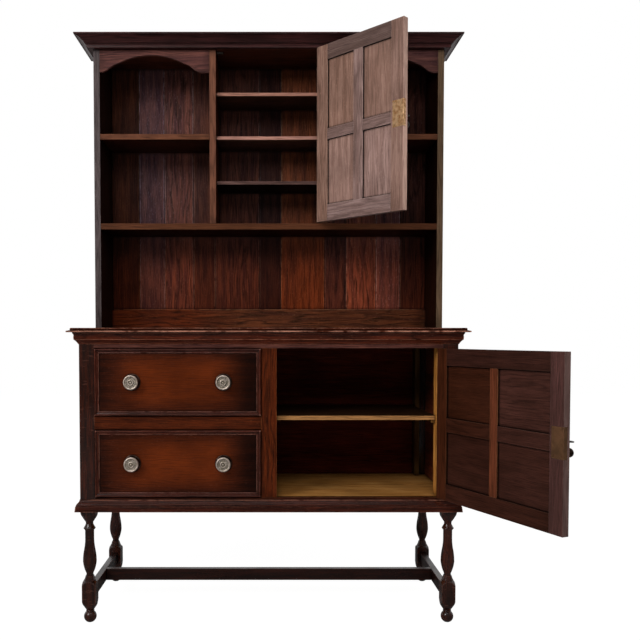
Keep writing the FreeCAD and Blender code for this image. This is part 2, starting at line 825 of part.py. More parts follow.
def make_pull(door):
    """The small round knob under the key, and the oval plate round the keyhole."""
    place = key_place(door)
    head = pull_projection
    steps = [
        V(pull_radius * foot_share, 0, 0),
        V(pull_radius * foot_share, 0, escutcheon_thickness),
        (V(pull_stem_radius, 0, head / 5), V(pull_stem_radius, 0, head * neck_share)),
        (V(pull_radius, 0, head * crown_share), V(pull_radius * brow_share, 0, head - escutcheon_thickness)),
        (V(pull_radius / 2, 0, head - escutcheon_thickness / 4), V(0, 0, head)),
    ]
    pull = moved(facing_front(turned(steps, 0, head)), place.x, place.y, place.z - pull_drop)
    curve = Part.Ellipse(V(0, 0, 0), escutcheon_height / 2, escutcheon_width / 2).toShape()
    plate = Part.Face(Part.Wire([curve])).extrude(V(0, 0, escutcheon_thickness))
    plate = plate.rotated(V(0, 0, 0), V(0, 0, 1), 90)
    plate = moved(facing_front(plate), place.x, place.y, place.z)
    plate = plate.cut(key_hole(door, overrun)).Solids[0]
    keep("door_" + door.name + "_pull", opened(door, pull), opened(door, plate))


# Shares of the small round pulls, and how far the key's stem enters its bow's rim
stem_entry_share = 0.6
foot_share = 0.6
neck_share = 0.42
crown_share = 0.7
brow_share = 0.75


def make_door(door):
    """Frame and four panels, with grooves that take the panels' edges."""
    free, edge = door_edges(door)
    y = (door.front, door.front + board_thickness)
    stiles = [
        block((free, free + door_stile_width), y, (door.low, door.high)),
        block((edge - door_stile_width, edge), y, (door.low, door.high)),
    ]
    stiles[0] = stiles[0].cut(lock_pocket(door)).cut(key_hole(door, board_thickness))
    x = (free + door_stile_width, edge - door_stile_width)
    bottom = door.low + door.bottom_rail
    top = door.high - door.top_rail
    split = bottom + (top - bottom - door.middle_rail) * door.panel_share
    above = split + door.middle_rail
    middle = (x[0] + x[1]) / 2
    half = door.muntin / 2
    muntin_x = (middle - half, middle + half)
    bays = ((x[0], muntin_x[0]), (muntin_x[1], x[1]))
    rails = [
        block(x, y, (door.low, bottom)),
        block(x, y, (top, door.high)),
        block(muntin_x, y, (bottom, top)),
        block(bays[0], y, (split, above)),
        block(bays[1], y, (split, above)),
    ]
    panel_back = y[1] - door_panel_recess
    panel_y = (panel_back - door_panel_thickness, panel_back)
    tongue = door_groove_depth
    panels = []
    for bay in bays:
        for z in ((bottom, split), (above, top)):
            panels.append(block((bay[0] - tongue, bay[1] + tongue), panel_y, (z[0] - tongue, z[1] + tongue)))
    filled = Part.makeCompound(panels)
    leaves = hinge_mortises(door)
    stiles[1] = stiles[1].cut(leaves)
    frame = [opened(door, piece.cut(filled).Solids[0]) for piece in stiles + rails]
    keep("door_" + door.name + "_frame", *frame)
    keep("door_" + door.name + "_panels", *[opened(door, panel) for panel in panels])


def hinge_places(door):
    """Heights at which the two hinges start."""
    return door.low + hinge_inset, door.high - hinge_inset - hinge_length


def leaf_sides(door):
    """Across X: the moving leaf on the door's edge and the fixed leaf beside it."""
    half = hinge_leaf_gap / 2
    moving = (door.hinge_x - half - hinge_leaf_thickness, door.hinge_x - half)
    fixed = (door.hinge_x + half, door.hinge_x + half + hinge_leaf_thickness)
    return moving, fixed


def hinge_mortises(door):
    """The shallow seats of both hinges' leaves, to cut from the door and from its post."""
    seats = []
    depth = (door.front, door.front + hinge_leaf_depth)
    for low in hinge_places(door):
        for side in leaf_sides(door):
            seats.append(block(side, depth, (low, low + hinge_length)))
    return Part.makeCompound(seats)


def make_hinges(door):
    """Butt hinges: knuckles turn about the pin, odd ones on the frame and even ones on the door."""
    axis = hinge_axis(door)
    pitch = hinge_length / hinge_segments
    hole = hinge_pin_radius + hinge_pin_clearance
    sides = leaf_sides(door)
    leaves = {0: [], 1: []}
    pins = []
    for low in hinge_places(door):
        for moving in (1, 0):
            side = sides[1 - moving]
            leaf = block(side, (door.front, door.front + hinge_leaf_depth), (low, low + hinge_length))
            pieces = []
            for segment in range(moving, hinge_segments, 2):
                foot = low + segment * pitch + hinge_segment_gap / 2
                rise = pitch - hinge_segment_gap
                centre = V(axis.x, axis.y, foot)
                pieces.append(Part.makeCylinder(hinge_knuckle_radius, rise, centre))
                pieces.append(block(side, (axis.y, door.front), (foot, foot + rise)))
            leaf = leaf.multiFuse(pieces)
            bore = Part.makeCylinder(hole, hinge_length + 2 * overrun, V(axis.x, axis.y, low - overrun))
            leaf = leaf.cut(bore).removeSplitter()
            leaves[moving].append(leaf.Solids[0])
        bottom = low + hinge_segment_gap / 2
        top = low + hinge_length - hinge_segment_gap / 2
        pin = Part.makeCylinder(hinge_pin_radius, top - bottom, V(axis.x, axis.y, bottom))
        under = Part.makeCylinder(hinge_cap_radius, hinge_cap_length,
                                  V(axis.x, axis.y, bottom - hinge_cap_length))
        over = Part.makeCylinder(hinge_cap_radius, hinge_cap_length, V(axis.x, axis.y, top))
        pins.append(pin.multiFuse([under, over]).removeSplitter().Solids[0])
    keep("door_" + door.name + "_hinge_leaves", *[opened(door, leaf) for leaf in leaves[1]])
    return leaves[0], pins


def make_rack():
    """Sides, dividers, shelves, valances, back and cornice."""
    side_top = dresser_height - cornice_fascia
    depth = (rack_front, body_depth)
    inner_depth = (rack_front, rack_back)
    side = block((rack_inside, half_rack), depth, (worktop_height, side_top))
    keep("rack_sides", mirrored(side), side)
    between = (-rack_inside, rack_inside)
    keep("long_shelf", block(between, inner_depth, (shelf_bottom, shelf_top)))
    keep("rack_top", block(between, inner_depth, (rack_ceiling, rack_ceiling + rack_top_thickness)))
    right = block((half_opening, bay_inside), inner_depth, (shelf_top, rack_ceiling))
    left = mirrored(right).cut(bolt_mortise(upper_door))
    right = right.cut(hinge_mortises(upper_door))
    keep("rack_dividers", left.Solids[0], right.Solids[0])
    bay = (bay_inside, rack_inside)
    bay_low = shelf_bottom + rack_rise * bay_shelf_share
    bay_shelf = block(bay, inner_depth, (bay_low, bay_low + bay_shelf_thickness))
    keep("bay_shelves", mirrored(bay_shelf), bay_shelf)
    thin = []
    thin_depth = (rack_front + thin_shelf_setback, rack_back)
    for share in thin_shelf_shares:
        low = shelf_bottom + rack_rise * share
        thin.append(block((-half_opening, half_opening), thin_depth, (low, low + thin_shelf_thickness)))
    keep("middle_shelves", *thin)
    keep("valances", mirrored(make_valance(bay, left_arch_shift)), make_valance(bay, 0))
    rail_y = (rack_back - rack_rail_thickness, rack_back)
    keep("rack_back_rail", block(between, rail_y, (worktop_height, worktop_height + rack_rail_height)))
    stop_front = rack_front + board_thickness + door_gap
    keep_x = (-half_opening, keep_length - half_opening)
    keep_y = (stop_front, stop_front + keep_depth)
    keep("door_keep", block(keep_x, keep_y, (rack_ceiling - keep_height, rack_ceiling)))
    keep("rack_back_boards", *make_back_boards(side_top))
    keep("cornice", *make_cornice())


def make_valance(bay, shift):
    """The shaped board under the top of a side bay: an arch, moved outwards, between two curves."""
    y = rack_front
    centre = (bay[0] + bay[1]) / 2 + shift
    foot = rack_ceiling - valance_height
    knee = rack_ceiling - valance_arch_foot
    peak = rack_ceiling - valance_arch_top
    step = arch_half_width + lobe_width
    waist = arch_half_width + lobe_width * lobe_share
    waist_z = (knee + foot) / 2
    bulge = lobe_width / 25
    left_edge = V(bay[0], y, rack_ceiling)
    steps = [
        V(bay[0], y, foot),
        V(centre - step, y, foot),
        (V(centre - (step + waist) / 2, y, (foot + waist_z) / 2 - bulge), V(centre - waist, y, waist_z)),
        (V(centre - (waist + arch_half_width) / 2, y, (waist_z + knee) / 2 + bulge),
         V(centre - arch_half_width, y, knee)),
        (V(centre, y, peak), V(centre + arch_half_width, y, knee)),
        (V(centre + (waist + arch_half_width) / 2, y, (waist_z + knee) / 2 + bulge),
         V(centre + waist, y, waist_z)),
        (V(centre + (step + waist) / 2, y, (foot + waist_z) / 2 - bulge), V(centre + step, y, foot)),
        V(bay[1], y, foot),
        V(bay[1], y, rack_ceiling),
    ]
    return face_of(left_edge, steps).extrude(V(0, valance_thickness, 0))


# Share of a lobe at which its curve turns
lobe_share = 0.5


def make_back_boards(side_top):
    """Upright boards of mixed widths, each with its front edges chamfered to a V."""
    boards = []
    total = sum(back_board_shares)
    width = 2 * rack_inside
    front = rack_back
    left = -rack_inside
    low = worktop_height
    cut = back_board_chamfer
    for share in back_board_shares:
        right = left + width * share / total
        plan = face_of(V(left, front + cut, low), [
            V(left + cut, front, low),
            V(right - cut, front, low),
            V(right, front + cut, low),
            V(right, body_depth, low),
            V(left, body_depth, low),
        ])
        boards.append(plan.extrude(V(0, 0, side_top - low)))
        left = right
    return boards


def make_cornice():
    """Cornice on the front and sides: lip, bead, hollow and fascia."""
    foot = dresser_height - cornice_height
    top = dresser_height
    fascia = top - cornice_fascia
    neck = cornice_projection - cornice_step
    lip = foot + cornice_lip_height
    bead = cornice_lip_projection + cornice_bead
    hollow = (bead + neck) / 2
    profile = (
        V(0, 0, foot),
        [V(cornice_lip_projection, 0, foot),
         V(cornice_lip_projection, 0, lip),
         (V(cornice_lip_projection + cornice_bead / 2, 0, lip + cornice_bead / 2),
          V(cornice_lip_projection, 0, lip + cornice_bead)),
         V(bead, 0, lip + cornice_bead),
         (V(hollow - cornice_bead / 4, 0, (lip + cornice_bead + fascia) / 2 + cornice_bead / 4),
         V(neck, 0, fascia)),
         V(cornice_projection, 0, fascia),
         V(cornice_projection, 0, top),
         V(0, 0, top)],
    )
    return mitred_returns(profile, half_rack, rack_front, body_depth)


def centre_on_floor():
    """Move every piece alike, so that the origin is under the middle of the whole."""
    box = FreeCAD.BoundBox()
    for solids in nodes.values():
        for solid in solids:
            box.add(solid.optimalBoundingBox(False))
    shift = V(-(box.XMin + box.XMax) / 2, -(box.YMin + box.YMax) / 2, -box.ZMin)
    for name, solids in nodes.items():
        nodes[name] = [solid.translated(shift) for solid in solids]
    return shift


post_block_top = make_posts()
make_stretchers(post_block_top)
make_carcase()
make_worktop()
make_base_mouldings()
make_cupboard_inside()
make_runners()
make_drawer("lower", opening_bottom, drawer_rail_bottom)
make_drawer("upper", drawer_rail_top, opening_top)
make_rack()
fixed_leaves = []
hinge_pins = []
for each_door in (lower_door, upper_door):
    make_door(each_door)
    make_lock(each_door)
    make_pull(each_door)
    door_leaves, door_pins = make_hinges(each_door)
    fixed_leaves += door_leaves
    hinge_pins += door_pins
keep("hinge_fixed_leaves", *fixed_leaves)
keep("hinge_pins", *hinge_pins)
seats = hinge_mortises(lower_door)
keep("leg_post_front_right", nodes["leg_post_front_right"][0].cut(seats).Solids[0])
frame_shift = centre_on_floor()
for node_name, node_solids in nodes.items():
    shape = node_solids[0] if len(node_solids) == 1 else Part.makeCompound(node_solids)
    shape.exportStep("parts/" + node_name + ".step")
print(len(nodes), "nodes", sum(len(solids) for solids in nodes.values()), "solids", frame_shift)
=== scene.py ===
"""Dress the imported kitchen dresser: stained oak, worn brass and dull pewter, with eased edges and screws."""

import json
import logging
import math
import random
from collections.abc import Callable
from dataclasses import dataclass, field
from enum import Enum
from functools import partial

import bmesh
import bpy
from mathutils import Matrix, Vector

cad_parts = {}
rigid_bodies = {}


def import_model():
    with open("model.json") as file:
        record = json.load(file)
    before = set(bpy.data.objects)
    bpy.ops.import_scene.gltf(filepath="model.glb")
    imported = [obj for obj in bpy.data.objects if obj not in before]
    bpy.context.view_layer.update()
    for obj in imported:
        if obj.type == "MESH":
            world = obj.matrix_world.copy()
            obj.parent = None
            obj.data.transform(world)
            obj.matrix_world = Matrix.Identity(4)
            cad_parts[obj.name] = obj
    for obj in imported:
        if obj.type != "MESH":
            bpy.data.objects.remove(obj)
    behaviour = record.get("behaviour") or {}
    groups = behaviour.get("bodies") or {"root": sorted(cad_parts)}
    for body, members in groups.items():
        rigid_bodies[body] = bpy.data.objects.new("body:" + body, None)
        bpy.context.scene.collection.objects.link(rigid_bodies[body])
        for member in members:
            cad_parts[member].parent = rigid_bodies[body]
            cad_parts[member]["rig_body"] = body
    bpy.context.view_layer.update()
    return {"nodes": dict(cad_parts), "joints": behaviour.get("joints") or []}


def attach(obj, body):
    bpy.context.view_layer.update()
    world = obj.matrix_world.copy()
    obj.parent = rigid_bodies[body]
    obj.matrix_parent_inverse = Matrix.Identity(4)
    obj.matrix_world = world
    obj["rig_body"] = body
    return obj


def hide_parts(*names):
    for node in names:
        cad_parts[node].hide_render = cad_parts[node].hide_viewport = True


log = logging.getLogger("dresser")

SEED = 1930
MM = 0.001

Tone = tuple[float, float]
Span = tuple[float, float]
Triple = tuple[float, float, float]
Colour = tuple[float, float, float, float]
Spot = tuple[Vector, Vector]
Mesh = bmesh.types.BMesh
Piece = bpy.types.Object
Socket = bpy.types.NodeSocket
Adder = Callable[..., Socket]

# Blender's names for the kinds of node that are used most, and the settings that they often have
MATH = "ShaderNodeMath"
VECTOR = "ShaderNodeVectorMath"
RANGE = "ShaderNodeMapRange"
NOISE = "ShaderNodeTexNoise"
MIX = "ShaderNodeMix"
HOLLOWS = "ShaderNodeAmbientOcclusion"
TIMES = {"operation": "MULTIPLY"}
TIMES_PLUS = {"operation": "MULTIPLY_ADD"}
SMOOTH = {"interpolation_type": "SMOOTHSTEP"}
OPENNESS = {"out": "AO", "samples": 6}
COLOURS = {"data_type": "RGBA", "out": 2}
# The inputs of a mix of colours: the share of the upper one, then the two colours
SHARE, UNDER, OVER = 0, 6, 7
# What the edge layer says of a face: an eased arris, or a face that gets the lighter colour all over, as worn
# wood and as painted light on a lit side
EASED, WORN_AND_LIT = 1.0, 2.0


class Cut(Enum):
    """How a board was sawn from the log, which decides the figure on its face."""

    FLAT = "flat"
    QUARTER = "quarter"
    MIXED = "mixed"


def linear(hex_colour: str) -> Colour:
    """Turn an sRGB hex colour to linear light.

    Args:
        hex_colour: Six hex digits after a hash sign.

    Returns:
        Red, green, blue and an alpha of one.
    """
    parts = [int(hex_colour[i : i + 2], 16) / 255 for i in (1, 3, 5)]
    light = [c / 12.92 if c <= 0.04045 else ((c + 0.055) / 1.055) ** 2.4 for c in parts]
    return (light[0], light[1], light[2], 1.0)


def add(
    tree: bpy.types.NodeTree, kind: str, *inputs: object, out: int | str = 0, **settings: object
) -> Socket | None:
    """Add one node with its settings and links.

    Args:
        tree: The tree that gets the node.
        kind: Blender's name for the node's type.
        *inputs: A value or a socket for each input in order, or one dict of them by name or number.
        out: The output that is wanted, by name or number.
        **settings: The node's properties.

    Returns:
        The output, or None where the node has none.
    """
    made = tree.nodes.new(kind)
    for name, value in settings.items():
        setattr(made, name, value)
    named = inputs[0] if inputs and isinstance(inputs[0], dict) else dict(enumerate(inputs))
    for key, value in named.items():
        if isinstance(value, bpy.types.NodeSocket):
            tree.links.new(value, made.inputs[key])
        else:
            made.inputs[key].default_value = value
    return made.outputs[out] if made.outputs else None


def blank(name: str) -> tuple[bpy.types.Material, Adder]:
    """Make a material with no nodes.

    Args:
        name: The material's name.

    Returns:
        The material and what adds nodes to it.
    """
    material = bpy.data.materials.new(name)
    material.use_nodes = True
    material.node_tree.nodes.clear()
    return material, partial(add, material.node_tree)


def set_down(name: str, data: bpy.types.ID) -> Piece:
    """Put a new object into the scene.

    Args:
        name: The object's name.
        data: Its mesh, lamp or camera.

    Returns:
        The object, at the origin.
    """
    made = bpy.data.objects.new(name, data)
    bpy.context.scene.collection.objects.link(made)
    return made


# Finishes


@dataclass(frozen=True)
class Oak:
    """Oak under a spirit stain and wax.

    Open pores hold the dark stain, the growth rings show between them, grime and painted shade darken every
    corner and groove, and the arrises are painted lighter, as rubbed wood and, on polished mouldings, as
    painted highlight.
    """

    name: str
    slot: str = "stained_oak"
    pore: str = "#1c0a06"
    ground: str = "#3a1810"
    figure: str = "#54261a"
    rubbed: str = "#6a2e12"
    # The colour of wood rubbed bare, which also serves as painted highlight on polished arrises and as painted
    # light on lit faces
    worn: str = "#7d5142"
    # The near black of corners and joints: old dirt there, and painted shade where little light reaches
    dirt_and_shade: str = "#0b0504"
    rubbed_share: float = 0.0
    worn_and_lit_share: float = 0.6
    wear_mm: float = 1.6
    corner_mm: float = 7.0
    corner_share: float = 0.75
    corner_open: Span = (0.93, 0.5)
    ends_share: float = 0.25
    ends_start: float = 0.86
    ends_shift: float = 0.0
    faded_share: float = 0.0
    faded_span: Span = (-0.6, -0.1)
    roughness: float = 0.42
    gloss: float = 0.06
    figure_share: float = 0.85
    fleck_share: float = 0.16
    relief_mm: float = 0.12
    # Real pores are some 0.3 mm wide and real rings 2 to 3 mm apart: both are drawn coarser, to show
    pore_mm: Triple = (46.0, 1.8, 1.8)
    ring_mm: float = 4.4
    band_mm: Triple = (190.0, 16.0, 16.0)
    ray_mm: Triple = (7.0, 2.6, 30.0)
    warp_mm: Triple = (260.0, 42.0, 42.0)
    warp_reach_mm: float = 26.0
    cloud_mm: float = 130.0
    rub_mm: float = 22.0
    # Where each smooth step begins and ends: late wood in its year, and each mark in its noise
    late_rise: Span = (0.05, 0.45)
    late_fall: Span = (1.0, 0.82)
    pore_span: Span = (0.36, 0.6)
    band_span: Span = (0.3, 0.7)
    ray_span: Span = (0.62, 0.74)
    cloud_span: Span = (0.3, 0.7)
    rub_span: Span = (0.3, 0.55)
    arris_span: Span = (0.9, 0.55)
    open_span: Span = (0.8, 0.97)
    rubbed_along: Span = (1.0, 0.35)
    rubbed_across: Span = (1.05, 0.3)
    # How much each of them counts
    clear_shares: Span = (0.55, 0.45)
    grained_share: float = 0.6
    rubbed_swing: float = 0.3
    cloud_swing: float = 0.24
    warm_red: float = 0.35
    warm_blue: float = -0.6
    faded_green: float = 0.6
    faded_blue: float = 1.4
    relief_shares: Span = (0.7, 0.3)
    relief_strength: float = 0.5
    waxed_swing: float = -0.06
    dusty_swing: float = 0.12
    wax_index: float = 1.5

    @staticmethod
    def streaks(node: Adder, grain: Socket, size_mm: tuple, detail: float, out: str = "Fac") -> Socket:
        """Add a noise drawn out along the grain.

        Args:
            node: What adds nodes to the material.
            grain: Board coordinates in millimetres, along the grain first.
            size_mm: The size of one feature along, across and through the board.
            detail: How many finer octaves the noise has.
            out: The output that is wanted.

        Returns:
            The noise.
        """
        vector = node(VECTOR, grain, tuple(1 / s for s in size_mm), **TIMES)
        return node(NOISE, {"Vector": vector, "Scale": 1.0, "Detail": detail, "Roughness": 0.6}, out=out)

    def figured(self, node: Adder, grain: Socket) -> tuple[Socket, Socket, Socket, Socket]:
        """Draw the rings, pores, bands and rays of the wood.

        Args:
            node: What adds nodes to the material.
            grain: Board coordinates in millimetres, along the grain first.

        Returns:
            The colour, how clear of pores and dark rings it is, the wood between pores and the late wood.
        """
        # Growth rings: distance from the heart of the log, made wavy along the board
        reach = self.warp_reach_mm
        warp = self.streaks(node, grain, self.warp_mm, 2.0, "Color")
        half = -reach / 2
        pushed = node(VECTOR, warp, (0.0, reach, reach), (0.0, half, half), **TIMES_PLUS)
        wavy = node(VECTOR, grain, pushed, operation="ADD")
        across = node(VECTOR, wavy, (0.0, 1.0, 1.0), **TIMES)
        radius = node(VECTOR, across, out="Value", operation="LENGTH")
        year = node(MATH, node(MATH, radius, self.ring_mm, operation="DIVIDE"), operation="FRACT")
        rise = node(RANGE, year, *self.late_rise, **SMOOTH)
        fall = node(RANGE, year, *self.late_fall, **SMOOTH)
        late = node(MATH, rise, fall, **TIMES)

        between = node(RANGE, self.streaks(node, grain, self.pore_mm, 3.0), *self.pore_span, **SMOOTH)
        bands = node(RANGE, self.streaks(node, grain, self.band_mm, 2.0), *self.band_span, **SMOOTH)
        rays = node(RANGE, self.streaks(node, grain, self.ray_mm, 1.0), *self.ray_span, **SMOOTH)
        open_share, late_share = self.clear_shares
        clear = node(MATH, between, open_share, node(MATH, late, late_share, **TIMES), **TIMES_PLUS)
        lift = node(MATH, node(MATH, clear, bands, **TIMES), self.figure_share, **TIMES)
        flecks = node(MATH, rays, self.fleck_share, **TIMES)
        colour = linear(self.pore)
        for share, over in ((clear, self.ground), (lift, self.figure), (flecks, self.worn)):
            colour = node(MIX, {SHARE: share, UNDER: colour, OVER: linear(over)}, **COLOURS)
        return colour, clear, between, late

    def build(self) -> bpy.types.Material:
        """Make the material's nodes.

        Returns:
            The material, which reads the boards' own attributes.
        """
        material, node = blank(self.name)
        attribute = partial(node, "ShaderNodeAttribute")
        names = ("grain", "span", "stain")
        grain, span, stain = (attribute(out="Vector", attribute_name=name) for name in names)
        edge = attribute(out="Fac", attribute_name="edge")
        along, aside, _ = node("ShaderNodeSeparateXYZ", span).node.outputs
        depth, warmth, _ = node("ShaderNodeSeparateXYZ", stain).node.outputs
        place = node("ShaderNodeTexCoord", out="Object")
        cloud = node(NOISE, {"Vector": place, "Scale": 1 / (self.cloud_mm * MM), "Detail": 3.0})
        patchy = node(RANGE, cloud, *self.cloud_span, **SMOOTH)
        colour, clear, between, late = self.figured(node, grain)
        grained = node(MATH, clear, self.grained_share, 1 - self.grained_share, **TIMES_PLUS)

        # Rubbed middle: the stain has gone thin where hands and cloths reach most
        lengthways = node(RANGE, node(MATH, along, operation="ABSOLUTE"), *self.rubbed_along, **SMOOTH)
        sideways = node(RANGE, node(MATH, aside, operation="ABSOLUTE"), *self.rubbed_across, **SMOOTH)
        middle = node(MATH, lengthways, sideways, **TIMES)
        swing, least = (self.rubbed_share * s for s in (self.rubbed_swing, 1 - self.rubbed_swing))
        uneven = node(MATH, patchy, swing, least, **TIMES_PLUS)
        thin = node(MATH, node(MATH, middle, uneven, **TIMES), grained, **TIMES)
        colour = node(MIX, {SHARE: thin, UNDER: colour, OVER: linear(self.rubbed)}, **COLOURS)

        # Old wax and dust, with painted shade, darken the corners and the joints, and the open arrises are
        # painted light, as rubbed wood and, on polished mouldings, as painted highlight
        nook = node(HOLLOWS, {"Distance": self.corner_mm * MM}, **OPENNESS)
        closed = node(RANGE, nook, *self.corner_open, **SMOOTH)
        dirt_and_shade_share = node(MATH, closed, self.corner_share, **TIMES)
        near = node(HOLLOWS, {"Distance": self.wear_mm * MM}, **OPENNESS, inside=True, only_local=True)
        arris = node(RANGE, near, *self.arris_span, **SMOOTH)
        rubs = node(MATH, node(MATH, edge, EASED, operation="MINIMUM"), arris, operation="MAXIMUM")
        rub_noise = node(NOISE, {"Vector": place, "Scale": 1 / (self.rub_mm * MM), "Detail": 4.0})
        chipped = node(MATH, rubs, node(RANGE, rub_noise, *self.rub_span, **SMOOTH), **TIMES)
        in_open = node(MATH, chipped, node(RANGE, nook, *self.open_span, **SMOOTH), **TIMES)
        all_over = node(MATH, edge, EASED, operation="SUBTRACT")
        bared_and_lit = node(MATH, node(MATH, in_open, all_over, operation="MAXIMUM"), grained, **TIMES)
        # The lighter wood goes on rubbed arrises and flagged faces: real wear, and also painted highlight and
        # painted light
        worn = node(MATH, bared_and_lit, self.worn_and_lit_share, **TIMES)
        colour = node(MIX, {SHARE: worn, UNDER: colour, OVER: linear(self.worn)}, **COLOURS)

        # Each board took the stain in its own way, its ends drank more of it, and daylight bleached its top
        from_middle = node(MATH, node(MATH, along, self.ends_shift, operation="ADD"), operation="ABSOLUTE")
        ends = node(RANGE, from_middle, self.ends_start, 1.0, 1.0, 1.0 - self.ends_share, **SMOOTH)
        cloudy = node(MATH, patchy, self.cloud_swing, 1 - self.cloud_swing / 2, **TIMES_PLUS)
        value = node(MATH, node(MATH, depth, 1.0, operation="ADD"), cloudy, **TIMES)
        value = node(MATH, value, ends, **TIMES)
        cool = node(RANGE, along, *self.faded_span, 0.0, self.faded_share, **SMOOTH)
        red = node(MATH, warmth, self.warm_red, 1.0, **TIMES_PLUS)
        green = node(MATH, cool, self.faded_green, 1.0, **TIMES_PLUS)
        cold = node(MATH, cool, self.faded_blue, 1.0, **TIMES_PLUS)
        blue = node(MATH, node(MATH, warmth, self.warm_blue, 1.0, **TIMES_PLUS), cold, **TIMES)
        tint = node("ShaderNodeCombineXYZ", red, green, blue)
        tinted = node(VECTOR, colour, tint, **TIMES)
        shaded = node(VECTOR, {0: tinted, "Scale": value}, operation="SCALE")
        # Painted shade: corners and joints are mixed towards near black, as dirt and as the shade that falls
        # there
        colour = node(MIX, {SHARE: dirt_and_shade_share, UNDER: shaded, OVER: linear(self.dirt_and_shade)}, **COLOURS)

        open_share, late_share = self.relief_shares
        height = node(MATH, between, open_share, node(MATH, late, late_share, **TIMES), **TIMES_PLUS)
        relief = {"Strength": self.relief_strength, "Distance": self.relief_mm * MM, "Height": height}
        smoothed = node(MATH, between, self.waxed_swing, self.roughness, **TIMES_PLUS)
        rough = node(MATH, patchy, self.dusty_swing, smoothed, **TIMES_PLUS)
        wax = {"Base Color": colour, "Roughness": rough, "Normal": node("ShaderNodeBump", relief)}
        wax |= {"IOR": self.wax_index, "Specular IOR Level": self.gloss}
        node("ShaderNodeOutputMaterial", {"Surface": node("ShaderNodeBsdfPrincipled", wax)})
        return material


@dataclass(frozen=True)
class Metal:
    """Cast or rolled metal, rubbed bright on its raised parts and dark with age in its hollows."""

    name: str
    bright: str
    dull: str
    slot: str = "brass"
    tarnish: float = 0.5
    roughness: float = 0.3
    patch_mm: float = 14.0
    # Real scratches are far finer than a tenth of a millimetre: these are drawn coarser, so that they show
    scratch_mm: float = 0.6
    relief_mm: float = 0.05
    hollow_mm: float = 3.0
    hollow: str = "#14100b"
    hollow_share: float = 0.85
    # Where the bright metal and the hollows begin and end, and how tarnish moves the first of them
    bright_span: Span = (0.2, 0.6)
    tarnish_shift: Span = (0.2, 0.3)
    hollow_span: Span = (0.95, 0.5)
    dull_extra: float = 0.08
    bright_swing: float = -0.1
    scratch_strength: float = 0.3

    def build(self) -> bpy.types.Material:
        """Make the material's nodes.

        Returns:
            The material, in Object coordinates.
        """
        material, node = blank(self.name)
        place = node("ShaderNodeTexCoord", out="Object")
        cloud = node(NOISE, {"Vector": place, "Scale": 1 / (self.patch_mm * MM), "Detail": 3.0})
        fine = node(NOISE, {"Vector": place, "Scale": 1 / (self.scratch_mm * MM), "Detail": 2.0})
        shifts = zip(self.bright_span, self.tarnish_shift)
        begins, ends = (start + self.tarnish * shift for start, shift in shifts)
        share = node(RANGE, cloud, begins, ends, **SMOOTH)
        colour = node(MIX, {SHARE: share, UNDER: linear(self.dull), OVER: linear(self.bright)}, **COLOURS)
        nook = node(HOLLOWS, {"Distance": self.hollow_mm * MM}, **OPENNESS)
        aged = node(RANGE, nook, *self.hollow_span, 0.0, self.hollow_share, **SMOOTH)
        colour = node(MIX, {SHARE: aged, UNDER: colour, OVER: linear(self.hollow)}, **COLOURS)
        rough = node(MATH, share, self.bright_swing, self.roughness + self.dull_extra, **TIMES_PLUS)
        relief = {"Strength": self.scratch_strength, "Distance": self.relief_mm * MM, "Height": fine}
        bump = node("ShaderNodeBump", relief)
        sheen = {"Base Color": colour, "Metallic": 1.0, "Roughness": rough, "Normal": bump}
        node("ShaderNodeOutputMaterial", {"Surface": node("ShaderNodeBsdfPrincipled", sheen)})
        return material


